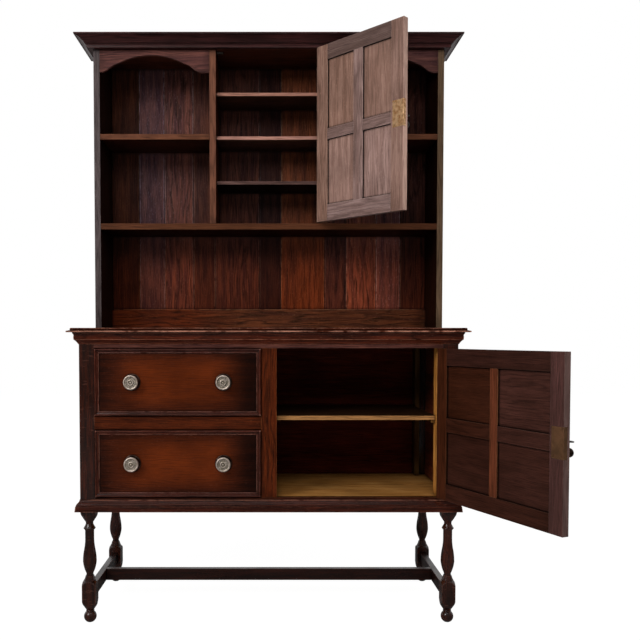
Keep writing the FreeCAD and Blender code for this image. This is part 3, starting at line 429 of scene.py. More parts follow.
class Finish(Enum):
    """Every finish on the dresser. Each comment says what the real surface is and what it gives the eye."""

    # Planed oak, stained and waxed: near-black pores on dark red brown, hardly any shine
    CASE = Oak("oak_case_stained", pore="#140704", ground="#34150c", figure="#4c2213")
    # The same oak where daylight fell on it for years: browner, and its edges hardly lighter
    FADED = Oak("oak_valance_faded", pore="#140806", ground="#341a15", figure="#4c291e", worn="#54382e")
    # The sides of the rack, with front faces painted a light grey, as wear from passing hands and as painted
    # light on the lit faces
    RACK = Oak(
        "oak_rack_faded", pore="#140806", ground="#341a15", figure="#4c291e", worn="#9d8c8c", worn_and_lit_share=0.85
    )
    # Turned oak, French polished on the lathe: almost black, with small sharp lights on every ring, from its
    # shine and from painted highlights on the ring arrises
    LEG = Oak(
        "oak_leg_stained", pore="#090302", ground="#1f0c06", figure="#3d180c", worn="#70493d",
        worn_and_lit_share=0.65, wear_mm=3.2, ends_share=0.0, gloss=0.4, roughness=0.16,
    )
    # Planed oak near the floor, polished and seldom touched: black brown with a dull grey light on top
    STRETCHER = Oak(
        "oak_stretcher_stained", pore="#0b0302", ground="#180704", figure="#2c0f07", worn="#583428",
        gloss=0.3, roughness=0.3,
    )
    # The top board, stained and wiped daily: deep red, matt, with a nosing painted pale, as rubbed wood and as
    # a painted highlight along it
    TOP = Oak(
        "oak_top_polished", ground="#2c0d03", figure="#421604", worn="#b07c68", worn_and_lit_share=0.95, wear_mm=4.5,
        gloss=0.02,
    )
    # Quarter-sawn oak fronts, rubbed thin round the knobs: orange brown in the middle, black at the ends
    DRAWER = Oak(
        "oak_drawer_front", pore="#120502", ground="#280d05", figure="#3c1607", rubbed="#5c2306",
        rubbed_share=1.0, corner_mm=16.0, corner_share=0.9, ends_share=0.68, ends_start=0.62,
        ends_shift=0.12,
    )
    # Moulded oak beads, polished: thin light lines on the crests, painted as wear and as highlight, and the
    # quirks darkened, as old wax and as painted shade
    BEAD = Oak(
        "oak_bead_worn", pore="#140704", ground="#34160f", figure="#4c1f13", worn="#8c6053", worn_and_lit_share=0.8,
        wear_mm=2.2, corner_mm=10.0, corner_share=0.95, corner_open=(0.95, 0.6), ends_share=0.0, gloss=0.14,
        roughness=0.22,
    )
    # Moulded oak above reach, dusty rather than rubbed: violet brown with grey crests
    CORNICE = Oak(
        "oak_cornice_worn", pore="#190c0b", ground="#341a18", figure="#4a2422", worn="#443d39",
        worn_and_lit_share=0.75, wear_mm=2.0, ends_share=0.0, gloss=0.12,
    )
    # Thin oak boards, each stained by itself: stripes of red and brown, bluish where daylight reached them
    BOARD = Oak(
        "oak_back_board", pore="#180a05", ground="#3a1913", figure="#5a2919", worn="#8a5a48",
        worn_and_lit_share=0.75, wear_mm=2.0, corner_mm=12.0, corner_share=0.6, ends_share=0.3, faded_share=1.0,
    )
    # Shelf boards, stained and planed: dark above, with the front face painted warm brown all over
    SHELF = Oak(
        "oak_shelf_stained", ground="#4a2114", figure="#643020", worn="#a06a54", worn_and_lit_share=0.85, wear_mm=2.2
    )
    # The thin shelves of the middle, with the front faces painted palest all over
    THIN = Oak(
        "oak_thin_shelf", pore="#180c08", ground="#351c13", figure="#4c2b1e", worn="#b4806e",
        worn_and_lit_share=0.95, ends_share=0.0,
    )
    # The upper door: oak painted a light pink grey, as the reflection of bright light across its faces, with
    # open brown pores and black lines round the panels, as dirt and painted shadow
    DOOR_UPPER = Oak(
        "oak_door_upper", pore="#584036", ground="#745649", figure="#927264", worn="#c8a28f", corner_mm=8.0,
        corner_share=0.97, corner_open=(0.93, 0.66), ends_share=0.1,
    )
    # The lower door, stained dark and matt: even red brown, with black joints that are dirt and the painted
    # shadow of the frame on the panels
    DOOR_LOWER = Oak(
        "oak_door_lower", pore="#22100a", ground="#331a12", figure="#42231a", worn="#4a3428", corner_mm=8.0,
        corner_share=0.97, corner_open=(0.93, 0.66), ends_share=0.1,
    )
    # Unstained oak under yellowed shellac, inside the cupboard: golden, matt
    INSIDE = Oak(
        "oak_inside_shellac", "bare_oak", pore="#7a4e22", ground="#b87c3c", figure="#d09a58", worn="#d8b078",
        worn_and_lit_share=0.5, roughness=0.5, corner_mm=20.0, corner_share=0.5,
    )
    # The cupboard's shelf: its faces painted near black as the shade inside the cupboard, and its front face
    # painted the golden oak where the light falls on it
    INSIDE_SHELF = Oak(
        "oak_cupboard_shelf", "bare_oak", pore="#0c0603", ground="#20120a", figure="#2e1a0d", worn="#aa7848",
        worn_and_lit_share=0.9, ends_share=0.1,
    )
    # Rough-sawn oak in the dark of the cupboard, painted black red for its stain and for the shade there, with
    # no shine
    SHADED = Oak(
        "oak_inside_dark", "bare_oak", pore="#140503", ground="#2c0c07", figure="#3c140b", worn="#3a2012",
        roughness=0.6, gloss=0.02,
    )
    # Planed oak with no finish at all, in the drawers: dry straw brown
    BARE = Oak(
        "oak_bare_aged", "bare_oak", pore="#4a3320", ground="#8a6238", figure="#a98250", worn="#b8945f",
        worn_and_lit_share=0.3, corner_share=0.4, roughness=0.6,
    )
    # Rolled brass, lacquer long gone: soft gold lights between brown patches
    BRASS = Metal("brass_rolled", "#eec294", "#a87448", tarnish=0.35, patch_mm=11.0)
    # Rolled brass, never cleaned: even bronze brown with a faint shine
    BRONZED = Metal("brass_darkened", "#b0825e", "#866449", tarnish=0.35, roughness=0.36, patch_mm=26.0)
    # Cast pewter, handled daily: pale rims and petals, green-grey dirt in the dish
    PEWTER = Metal(
        "pewter_cast", "#efdfd4", "#c6b7a6", "aged_brass", tarnish=0.4, roughness=0.58, patch_mm=9.0,
        hollow_mm=6.0, hollow="#6c6a50", hollow_share=0.9,
    )
    # Turned brass, chemically blackened: brown black, worn a little brighter where it is held
    BLACKED = Metal("brass_blackened", "#6a5348", "#2a1f1a", "aged_brass", roughness=0.34)
    # Filed steel keys and nails: dull grey with dark patches
    STEEL = Metal("steel_dull", "#8d8a85", "#4b4744", "steel", roughness=0.32)
    # Pressed steel plate, bare and lighter where the bolt rubs
    KEEP = Metal("steel_keep", "#a9a49c", "#8a847c", "steel", tarnish=0.4, roughness=0.45)

    @property
    def material(self) -> bpy.types.Material:
        """The finish's material, made when it is first asked for."""
        return bpy.data.materials.get(self.value.name) or self.value.build()

    @property
    def slot(self) -> str:
        """The record's material slot."""
        return self.value.slot


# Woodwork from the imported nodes


@dataclass
class Workshop:
    """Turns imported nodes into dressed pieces: solids parted, arrises eased, grain laid along each board."""

    nodes: dict
    body_of: dict
    chance: random.Random = field(default_factory=lambda: random.Random(SEED))
    smooth_degrees: float = 21.0
    flat_degrees: float = 0.4
    plate_mm: float = 5.0
    facing_share: float = 0.9
    # Corners closer than a micrometre are one, and solids level to a hundredth of a millimetre are in line
    corner_steps: float = 1e6
    level_digits: int = 5
    thinnest: float = 1e-6
    # Where a board lay in its log, and how far its stain may stray from its neighbours'
    log_length_mm: float = 4000.0
    heart_aside_mm: float = 40.0
    heart_away_mm: Span = (55.0, 120.0)
    quarter_shares: Span = (2.2, 0.6)
    depth_spread: float = 0.13
    warmth_spread: float = 0.15

    def solids(self, name: str) -> Mesh:
        """Copy a node with its loose triangles joined, each solid apart from its neighbours.

        Args:
            name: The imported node.

        Returns:
            A mesh in which touching solids share no corner.
        """
        mesh = self.nodes[name].data
        made = bmesh.new()
        corners: dict = {}
        unmatched: set = set()
        solid = 0
        steps = self.corner_steps
        for polygon in mesh.polygons:
            keys = [tuple(round(c * steps) for c in mesh.vertices[i].co) for i in polygon.vertices]
            if len(set(keys)) < len(keys):
                continue
            for key, index in zip(keys, polygon.vertices):
                if (solid, key) not in corners:
                    corners[(solid, key)] = made.verts.new(mesh.vertices[index].co)
            try:
                made.faces.new([corners[(solid, key)] for key in keys])
            except ValueError:
                continue
            for first, second in zip(keys, keys[1:] + keys[:1]):
                if (second, first) in unmatched:
                    unmatched.discard((second, first))
                else:
                    unmatched.add((first, second))
            if not unmatched:
                solid += 1
        flat = math.radians(self.flat_degrees)
        bmesh.ops.dissolve_limit(made, angle_limit=flat, verts=made.verts, edges=made.edges)
        return made

    @staticmethod
    def islands(made: Mesh) -> list[list[bmesh.types.BMVert]]:
        """Find the separate solids of a mesh.

        Args:
            made: The mesh.

        Returns:
            The corners of each solid.
        """
        seen: set = set()
        groups = []
        for seed in made.verts:
            if seed in seen:
                continue
            seen.add(seed)
            group, waiting = [], [seed]
            while waiting:
                vert = waiting.pop()
                group.append(vert)
                for edge in vert.link_edges:
                    other = edge.other_vert(vert)
                    if other not in seen:
                        seen.add(other)
                        waiting.append(other)
            groups.append(group)
        return groups

    def ease(self, made: Mesh, arris_mm: float, least_mm: float, angle: float) -> None:
        """Round the arrises a little and mark them for the lighter colour of wear and of painted highlight.

        Args:
            made: The mesh.
            arris_mm: How much of each side the rounding takes.
            least_mm: Edges shorter than this stay.
            angle: Edges flatter than this, in degrees, stay.
        """
        layer = made.faces.layers.float.new("edge")
        limit = math.radians(angle)
        solid_edges = [e for e in made.edges if e.is_manifold and e.calc_face_angle(0) > limit]
        chosen = [e for e in solid_edges if e.calc_length() > least_mm * MM]
        if not chosen or arris_mm <= 0:
            return
        rounded = bmesh.ops.bevel(
            made, geom=chosen, offset=arris_mm * MM, offset_type="OFFSET", segments=2, profile=0.5,
            affect="EDGES", clamp_overlap=True,
        )
        for face in rounded["faces"]:
            face[layer] = EASED

    def boards(self, made: Mesh, turn: float = 0.0) -> list[tuple]:
        """Sort the solids of a mesh from left to right, and from the lowest up where they stand in line.

        Args:
            made: The mesh.
            turn: The turn about the vertical, in radians, that the solids stand at.

        Returns:
            For each solid its lowest and highest corner and its places, all turned straight, and its
            mesh corners.
        """
        straight = Matrix.Rotation(-turn, 3, "Z")
        sorted_boards = []
        for group in self.islands(made):
            places = [straight @ v.co for v in group]
            low = Vector([min(p[i] for p in places) for i in range(3)])
            high = Vector([max(p[i] for p in places) for i in range(3)])
            sorted_boards.append((low, high, places, group))
        level = partial(round, ndigits=self.level_digits)
        sorted_boards.sort(key=lambda b: (level(b[0].x + b[1].x), level(b[0].z + b[1].z), b[0].y))
        return sorted_boards

    def boxes(self, name: str, turn: float = 0.0) -> list[Spot]:
        """Measure a node's solids, from left to right.

        Args:
            name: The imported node.
            turn: The turn about the vertical, in radians, that the solids stand at.

        Returns:
            For each solid its lowest and highest corner, turned straight.
        """
        made = self.solids(name)
        found = [(low, high) for low, high, _, _ in self.boards(made, turn)]
        made.free()
        return found

    def lay_grain(
        self, made: Mesh, turn: float, cut: Cut, tones: tuple[Tone, ...], axis: int | None
    ) -> None:
        """Give every solid its own board coordinates and its own stain.

        Args:
            made: The mesh.
            turn: The turn about the vertical, in radians, that the solids stand at.
            cut: How the boards were sawn.
            tones: Depth and warmth of the stain of the solids from left to right, or nothing for chance.
            axis: The direction of the grain (0, 1 or 2) in the unturned frame, or None for the longest side.
        """
        chance = self.chance
        new_layer = made.verts.layers.float_vector.new
        grain, span, stain = (new_layer(name) for name in ("grain", "span", "stain"))
        for index, (low, high, places, group) in enumerate(self.boards(made, turn)):
            size = high - low
            order = sorted(range(3), key=lambda i: -size[i])
            if axis is not None:
                order = [axis] + [i for i in order if i != axis]
            kind = chance.choice((Cut.FLAT, Cut.QUARTER)) if cut is Cut.MIXED else cut
            near = chance.uniform(-self.heart_aside_mm, self.heart_aside_mm)
            far = chance.choice((-1, 1)) * chance.uniform(*self.heart_away_mm)
            wide, close = self.quarter_shares
            heart = (near, far) if kind is Cut.FLAT else (far * wide, near * close)
            start = chance.uniform(0, self.log_length_mm)
            if tones:
                depth, warmth = tones[index % len(tones)]
            else:
                depth = chance.uniform(-self.depth_spread, self.depth_spread)
                warmth = chance.uniform(-self.warmth_spread, self.warmth_spread)
            middle = (low + high) / 2
            half = [max(side / 2, self.thinnest) for side in size]
            for vert, place in zip(group, places):
                way = [(place[i] - middle[i]) / MM for i in order]
                vert[grain] = Vector((way[0] + start, way[1] + heart[0], way[2] + heart[1]))
                vert[span] = Vector([(place[i] - middle[i]) / half[i] for i in order])
                vert[stain] = Vector((depth, warmth, 0.0))

    def finish_mesh(self, made: Mesh, name: str, finish: Finish) -> Piece:
        """Turn a working mesh to a piece that sits at the origin.

        Args:
            made: The mesh, which is freed.
            name: The piece's name.
            finish: What it is finished with.

        Returns:
            The piece, linked to the scene.
        """
        limit = math.radians(self.smooth_degrees)
        for face in made.faces:
            face.smooth = True
        for edge in made.edges:
            edge.smooth = edge.is_manifold and edge.calc_face_angle(0) < limit
        mesh = bpy.data.meshes.new(name)
        made.to_mesh(mesh)
        made.free()
        mesh.materials.append(finish.material)
        piece = set_down(name, mesh)
        finish.slot
        return piece

    def dress(
        self, node: str, finish: Finish, turn: float = 0.0, cut: Cut = Cut.MIXED, tones: tuple = (),
        axis: int | None = None, arris_mm: float = 0.9, least_mm: float = 2.0, angle: float = 32.0,
        thin_finish: Finish | None = None, worn_and_lit_side: Triple | None = None,
    ) -> Piece:
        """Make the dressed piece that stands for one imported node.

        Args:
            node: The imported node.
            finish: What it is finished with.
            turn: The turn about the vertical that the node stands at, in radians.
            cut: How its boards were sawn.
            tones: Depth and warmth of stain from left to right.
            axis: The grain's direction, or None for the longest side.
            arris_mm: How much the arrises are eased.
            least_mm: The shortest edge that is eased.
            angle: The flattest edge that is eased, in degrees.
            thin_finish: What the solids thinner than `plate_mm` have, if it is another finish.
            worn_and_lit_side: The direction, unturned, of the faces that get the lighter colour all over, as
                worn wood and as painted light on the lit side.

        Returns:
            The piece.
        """
        made = self.solids(node)
        self.ease(made, arris_mm, least_mm, angle)
        # Painted light: faces that look this way get the lighter colour all over, as wear and as the light
        # that falls on them
        if worn_and_lit_side:
            layer = made.faces.layers.float["edge"]
            way = Matrix.Rotation(turn, 3, "Z") @ Vector(worn_and_lit_side)
            made.normal_update()
            for face in made.faces:
                if face.normal.dot(way) > self.facing_share:
                    face[layer] = WORN_AND_LIT
        self.lay_grain(made, turn, cut, tones, axis)
        if thin_finish:
            for low, high, _, group in self.boards(made, turn):
                if min(high - low) < self.plate_mm * MM:
                    for face in {f for vert in group for f in vert.link_faces}:
                        face.material_index = 1
        piece = self.finish_mesh(made, "dressed_" + node, finish)
        if thin_finish:
            piece.data.materials.append(thin_finish.material)
        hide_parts(node)
        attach(piece, self.body_of[node])
        log.info("%s: %d faces", piece.name, len(piece.data.polygons))
        return piece


# Repeated small parts


class Layout:
    """A node tree that sets one small form on many spots, with named inputs for its sizes."""

    def __init__(self, name: str, sizes: dict[str, float]) -> None:
        """Start the tree with a geometry input and its sizes.

        Args:
            name: The name of the piece that it makes.
            sizes: Names of the size inputs with their values in metres or as counts.
        """
        self.name = name
        self.sizes = sizes
        self.tree = bpy.data.node_groups.new(name + "_layout", "GeometryNodeTree")
        self.tree.interface.new_socket("Points", in_out="INPUT", socket_type="NodeSocketGeometry")
        self.tree.interface.new_socket("Heads", in_out="OUTPUT", socket_type="NodeSocketGeometry")
        self.sockets = {}
        for label, size in sizes.items():
            kind = "NodeSocketInt" if isinstance(size, int) else "NodeSocketFloat"
            made = self.tree.interface.new_socket(label, in_out="INPUT", socket_type=kind)
            self.sockets[label] = made.identifier
        self.node = partial(add, self.tree)
        self.given = self.node("NodeGroupInput").node.outputs

    def set_out(self, form: Socket, finish: Finish, spun: bool) -> None:
        """Lay the form on every spot, turned the way that the spot faces.

        Args:
            form: The form, facing up.
            finish: What it is made of.
            spun: Whether each copy has a turn of its own, as a screw's slot has, and flat shading.
        """
        node = self.node
        facing = node("GeometryNodeInputNamedAttribute", {"Name": "facing"}, data_type="FLOAT_VECTOR")
        turned = node("FunctionNodeAlignRotationToVector", {"Vector": facing}, axis="Z")
        if spun:
            angle = node("FunctionNodeRandomValue", {"Min": 0.0, "Max": math.pi, "Seed": SEED}, out=1)
            spin = node("FunctionNodeAxisAngleToRotation", {"Axis": (0, 0, 1), "Angle": angle})
            turned = node("FunctionNodeRotateRotation", turned, spin, rotation_space="LOCAL")
        laid = {"Points": self.given["Points"], "Instance": form, "Rotation": turned}
        real = node("GeometryNodeRealizeInstances", node("GeometryNodeInstanceOnPoints", laid))
        if not spun:
            real = node("GeometryNodeSetShadeSmooth", real)
        dressed = node("GeometryNodeSetMaterial", {"Geometry": real, "Material": finish.material})
        node("NodeGroupOutput", dressed)

    def grow(self, spots: list[Spot], finish: Finish, body: str) -> Piece:
        """Run the tree on its spots and keep the result as a plain mesh.

        Args:
            spots: Places and the directions that they face.
            finish: What the copies are made of.
            body: The body that carries them.

        Returns:
            The piece.
        """
        mesh = bpy.data.meshes.new(self.name + "_spots")
        mesh.from_pydata([spot[0] for spot in spots], [], [])
        facing = mesh.attributes.new("facing", "FLOAT_VECTOR", "POINT")
        facing.data.foreach_set("vector", [c for spot in spots for c in spot[1]])
        seat = set_down(self.name + "_spots", mesh)
        layout = seat.modifiers.new("layout", "NODES")
        layout.node_group = self.tree
        for label, size in self.sizes.items():
            layout[self.sockets[label]] = size
        graph = bpy.context.evaluated_depsgraph_get()
        made = bpy.data.meshes.new_from_object(seat.evaluated_get(graph))
        made.name = self.name
        seat.modifiers.remove(layout)
        bpy.data.objects.remove(seat)
        made.materials.clear()
        made.materials.append(finish.material)
        piece = set_down(self.name, made)
        finish.slot
        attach(piece, body)
        log.info("%s: %d spots, %d faces", self.name, len(spots), len(made.polygons))
        return piece


@dataclass
class Fixings:
    """Screw heads and nail heads, and the petals of the knobs."""

    screw_radius_mm: float = 3.1
    nail_radius_mm: float = 2.2
    head_height_mm: float = 0.5
    slot_mm: float = 0.9
    blade_share: float = 3.0
    sides: int = 16

    def heads(self, name: str, spots: list[Spot], finish: Finish, body: str, slotted: bool = True) -> None:
        """Set screw heads, or plain nail heads, on their spots.

        Args:
            name: The piece's name.
            spots: Places and facing directions.
            finish: What the heads are made of.
            body: The body that carries them.
            slotted: Whether each head has a slot, turned by chance.
        """
        radius = self.screw_radius_mm if slotted else self.nail_radius_mm
        sizes = {"Radius": radius * MM, "Height": self.head_height_mm * MM, "Sides": self.sides}
        if slotted:
            sizes["Slot"] = self.slot_mm * MM
        layout = Layout(name, sizes)
        node, given = layout.node, layout.given
        rod = {"Vertices": given["Sides"], "Radius": given["Radius"], "Depth": given["Height"]}
        head = node("GeometryNodeMeshCylinder", rod, out="Mesh")
        if slotted:
            length = node(MATH, given["Radius"], self.blade_share, **TIMES)
            size = node("ShaderNodeCombineXYZ", length, given["Slot"], given["Height"])
            lift = node(MATH, given["Height"], 0.5, **TIMES)
            blade = {"Geometry": node("GeometryNodeMeshCube", {"Size": size}, out="Mesh")}
            blade["Translation"] = node("ShaderNodeCombineXYZ", {2: lift})
            raised = node("GeometryNodeTransform", blade)
            head = node("GeometryNodeMeshBoolean", head, raised, operation="DIFFERENCE")
        layout.set_out(head, finish, spun=True)
        layout.grow(spots, finish, body)

    def petals(
        self, name: str, spots: list[Spot], ring_mm: float, petal_mm: tuple, count: int, body: str
    ) -> None:
        """Set a ring of raised petals on each spot.

        Args:
            name: The piece's name.
            spots: Centres of the rings and the directions that they face.
            ring_mm: The radius of the ring through the petals' middles.
            petal_mm: Length, width and height of one petal.
            count: How many petals a ring has.
            body: The body that carries them.
        """
        length, width, height = (size * MM / 2 for size in petal_mm)
        sizes = {"Ring": ring_mm * MM, "Length": length, "Width": width, "Height": height, "Count": count}
        layout = Layout(name, sizes)
        node, given = layout.node, layout.given
        ring = node("GeometryNodeMeshCircle", {"Vertices": given["Count"], "Radius": given["Ring"]})
        drop = node("GeometryNodeMeshUVSphere", {"Segments": 10, "Rings": 6, "Radius": 1.0}, out="Mesh")
        size = node("ShaderNodeCombineXYZ", given["Length"], given["Width"], given["Height"])
        place = node("GeometryNodeInputPosition")
        outward = node("FunctionNodeAlignRotationToVector", {"Vector": place}, axis="X")
        around = {"Points": ring, "Instance": drop, "Rotation": outward, "Scale": size}
        layout.set_out(node("GeometryNodeInstanceOnPoints", around), Finish.PEWTER, spun=False)
        layout.grow(spots, Finish.PEWTER, body)


# Sub-assemblies


@dataclass
class Base:
    """The lower carcase on its turned legs, with the cupboard's inside."""

    shop: Workshop
    leg_corners: tuple[str, ...] = ("front_left", "front_right", "back_left", "back_right")
    frame_tones: tuple[tuple[str, Tone], ...] = (
        ("bottom_rail", (-0.38, 0.4)),
        ("drawer_rail", (-0.05, 0.9)),
        ("centre_stile", (0.05, 1.0)),
    )
    dark_parts: tuple[str, ...] = ("partition", "drawer_runners", "drawer_kickers")
    polished_arris_mm: float = 0.7

    def build(self) -> None:
        """Dress the legs, stretchers, rails, mouldings, sides, top and inside."""
        dress = self.shop.dress
        for corner in self.leg_corners:
            dress("leg_post_" + corner, Finish.LEG, axis=2, arris_mm=0.8, least_mm=6.0, angle=40.0)
        for name in ("side_stretchers", "middle_stretcher"):
            dress(name, Finish.STRETCHER, arris_mm=1.2)
        for name, tone in self.frame_tones:
            dress(name, Finish.CASE, tones=(tone,))
        dress("top_rail", Finish.FADED, tones=((1.0, -0.2),))
        dress("side_boards", Finish.CASE, axis=1, tones=((0.0, 0.0), (1.4, 0.1)))
        dress("worktop_moulding", Finish.BEAD, arris_mm=self.polished_arris_mm, tones=((0.15, 0.4),))
        dress("plinth_moulding", Finish.BEAD, arris_mm=self.polished_arris_mm, tones=((-0.35, 0.2),))
        dress("worktop", Finish.TOP, axis=0, cut=Cut.FLAT, arris_mm=1.2)
        dress("floor_board", Finish.INSIDE, tones=((-0.3, 0.0),))
        dress("cupboard_shelf", Finish.INSIDE_SHELF, tones=((0.0, 0.0),), worn_and_lit_side=(0, -1, 0))
        dress("shelf_cleats", Finish.INSIDE, tones=((-0.6, 0.0),))
        for name in self.dark_parts:
            dress(name, Finish.SHADED)
        dress("back_panel", Finish.SHADED, axis=0, tones=((1.2, 0.3),))
        dress("door_stop_strips", Finish.INSIDE, axis=2, tones=((-0.15, 0.3), (-0.85, 0.0)))
        dress("back_frame", Finish.SHADED)


@dataclass
class Rack:
    """The open rack that stands on the worktop: sides, shelves, back boards, valances and cornice."""

    shop: Workshop
    fixings: Fixings
    board_tones: tuple[Tone, ...] = (
        (-0.35, 0.45), (0.8, -0.5), (0.8, 0.0), (0.05, 0.15), (0.25, 0.1), (-0.4, -0.1), (0.75, 0.7),
        (0.25, -0.15), (1.9, 0.2), (2.4, -0.3), (-0.2, 0.1),
    )
    thin_tones: tuple[Tone, ...] = ((-0.74, -0.3), (-0.08, -0.1), (-0.28, 0.0))
    nail_row_shares: tuple[float, ...] = (0.035, 0.345, 0.655, 0.985)
    nail_inset_mm: float = 14.0

    def build(self) -> None:
        """Dress every piece of the rack."""
        dress = self.shop.dress
        front = (0, -1, 0)
        # Painted shade: the rack's sides are toned darker all over, for the shade on their inner faces; their
        # front faces are painted light
        dress("rack_sides", Finish.RACK, axis=2, tones=((-0.75, 0.0), (-0.7, 0.7)), worn_and_lit_side=front)
        dress("rack_dividers", Finish.SHELF, axis=2, tones=((-0.59, 0.1), (-0.62, 0.0)), worn_and_lit_side=front)
        dress("rack_top", Finish.CASE, axis=0)
        dress("bay_shelves", Finish.SHELF, axis=0, tones=((-0.67, 0.3),), worn_and_lit_side=front)
        dress("long_shelf", Finish.SHELF, axis=0, tones=((-0.77, 0.5),), worn_and_lit_side=front)
        dress("valances", Finish.FADED, axis=0, tones=((1.1, -0.45), (0.8, -0.55)))
        dress("rack_back_rail", Finish.BOARD, axis=0, cut=Cut.FLAT, tones=((0.02, 0.8),))
        dress("cornice", Finish.CORNICE, arris_mm=0.7)
        dress("middle_shelves", Finish.THIN, axis=0, tones=self.thin_tones, worn_and_lit_side=front)
        dress("rack_back_boards", Finish.BOARD, axis=2, tones=self.board_tones)
        dress("door_keep", Finish.KEEP, arris_mm=0.4, least_mm=1.0)
        self.nail_boards()

    def nail_boards(self) -> None:
        """Nail the back boards to the rails and shelves that they lie on."""
        inset = self.nail_inset_mm * MM
        spots = []
        for low, high in self.shop.boxes("rack_back_boards"):
            for share in self.nail_row_shares:
                for x in (low.x + inset, high.x - inset):
                    spots.append((Vector((x, high.y, low.z + (high.z - low.z) * share)), Vector((0, 1, 0))))
        self.fixings.heads("back_board_nails", spots, Finish.STEEL, "carcase", slotted=False)


@dataclass
class Drawer:
    """One drawer: stained front with its applied moulding, bare box behind, and a pair of cast knobs."""

    shop: Workshop
    fixings: Fixings
    tier: str
    petal_ring_mm: float = 13.2
    petal_mm: Triple = (5.0, 1.9, 0.8)
    petals: int = 24
    dish_depth_mm: float = 2.6

    def build(self) -> None:
        """Dress the drawer."""
        dress = self.shop.dress
        prefix = "drawer_" + self.tier + "_"
        dress(prefix + "front", Finish.DRAWER, axis=0, cut=Cut.QUARTER, tones=((0.0, 0.0),))
        dress(prefix + "moulding", Finish.BEAD, arris_mm=0.6)
        dress(prefix + "box", Finish.BARE)
        dress(prefix + "bottom", Finish.BARE, axis=0)
        dress(prefix + "knobs", Finish.PEWTER, arris_mm=0.0, least_mm=0.2, thin_finish=Finish.BLACKED)
        self.petal_rings(prefix)

    def petal_rings(self, prefix: str) -> None:
        """Lay a ring of petals in the dish of each knob.

        Args:
            prefix: The start of the drawer's names.
        """
        spots = []
        for low, high in self.shop.boxes(prefix + "knobs"):
            if high.y - low.y > self.shop.plate_mm * MM:
                centre = (low + high) / 2
                centre.y = low.y + self.dish_depth_mm * MM
                spots.append((centre, Vector((0, -1, 0))))
        body = self.tier + "_drawer"
        self.fixings.petals(prefix + "petals", spots, self.petal_ring_mm, self.petal_mm, self.petals, body)


@dataclass
class Door:
    """One panelled door standing open, with its hinge leaves, lock, bolt, key and pull."""

    shop: Workshop
    fixings: Fixings
    joints: list
    tier: str
    finish: Finish
    lock_finish: Finish
    frame_tones: tuple[Tone, ...]
    panel_tones: tuple[Tone, ...]
    panel_axis: int
    screw_inset_mm: float = 6.0

    @property
    def turn(self) -> float:
        """How far the door stands open, in radians: the hinge closes it by that much."""
        hinge = next(j for j in self.joints if j["name"] == self.tier + "_door_hinge")
        return -math.radians(min(hinge["range_deg"]))

    def build(self) -> None:
        """Dress the door."""
        dress = partial(self.shop.dress, turn=self.turn)
        prefix = "door_" + self.tier + "_"
        dress(prefix + "frame", self.finish, tones=self.frame_tones, worn_and_lit_side=(-1, 0, 0))
        dress(prefix + "panels", self.finish, axis=self.panel_axis, tones=self.panel_tones)
        dress(prefix + "lock", self.lock_finish, arris_mm=0.25, least_mm=1.0)
        dress(prefix + "bolt", self.lock_finish, arris_mm=0.3, least_mm=1.0)
        dress(prefix + "key", Finish.STEEL, arris_mm=0.25, least_mm=0.3)
        dress(prefix + "pull", Finish.BLACKED, arris_mm=0.2, least_mm=0.2)
        dress(prefix + "hinge_leaves", Finish.BRASS, arris_mm=0.2, least_mm=1.0)
        self.screws(prefix)

    def screws(self, prefix: str) -> None:
        """Screw the lock's plate to the door's inner face.

        Args:
            prefix: The start of the door's names.
        """
        back = Matrix.Rotation(self.turn, 3, "Z")
        inset = self.screw_inset_mm * MM
        spots = []
        for low, high in self.shop.boxes(prefix + "lock", self.turn):
            for x in (low.x + inset, high.x - inset):
                for z in (low.z + inset, high.z - inset):
                    spots.append((back @ Vector((x, high.y, z)), back @ Vector((0, 1, 0))))
        self.fixings.heads(prefix + "lock_screws", spots, self.lock_finish, self.tier + "_door")


@dataclass
class Hinges:
    """What the hinges leave on the carcase: the fixed leaves and the pins."""

    shop: Workshop

    def build(self) -> None:
        """Dress the fixed leaves and the pins."""
        self.shop.dress("hinge_fixed_leaves", Finish.BRASS, arris_mm=0.2, least_mm=1.0)
        self.shop.dress("hinge_pins", Finish.BRASS, arris_mm=0.15, least_mm=0.2)


# Studio


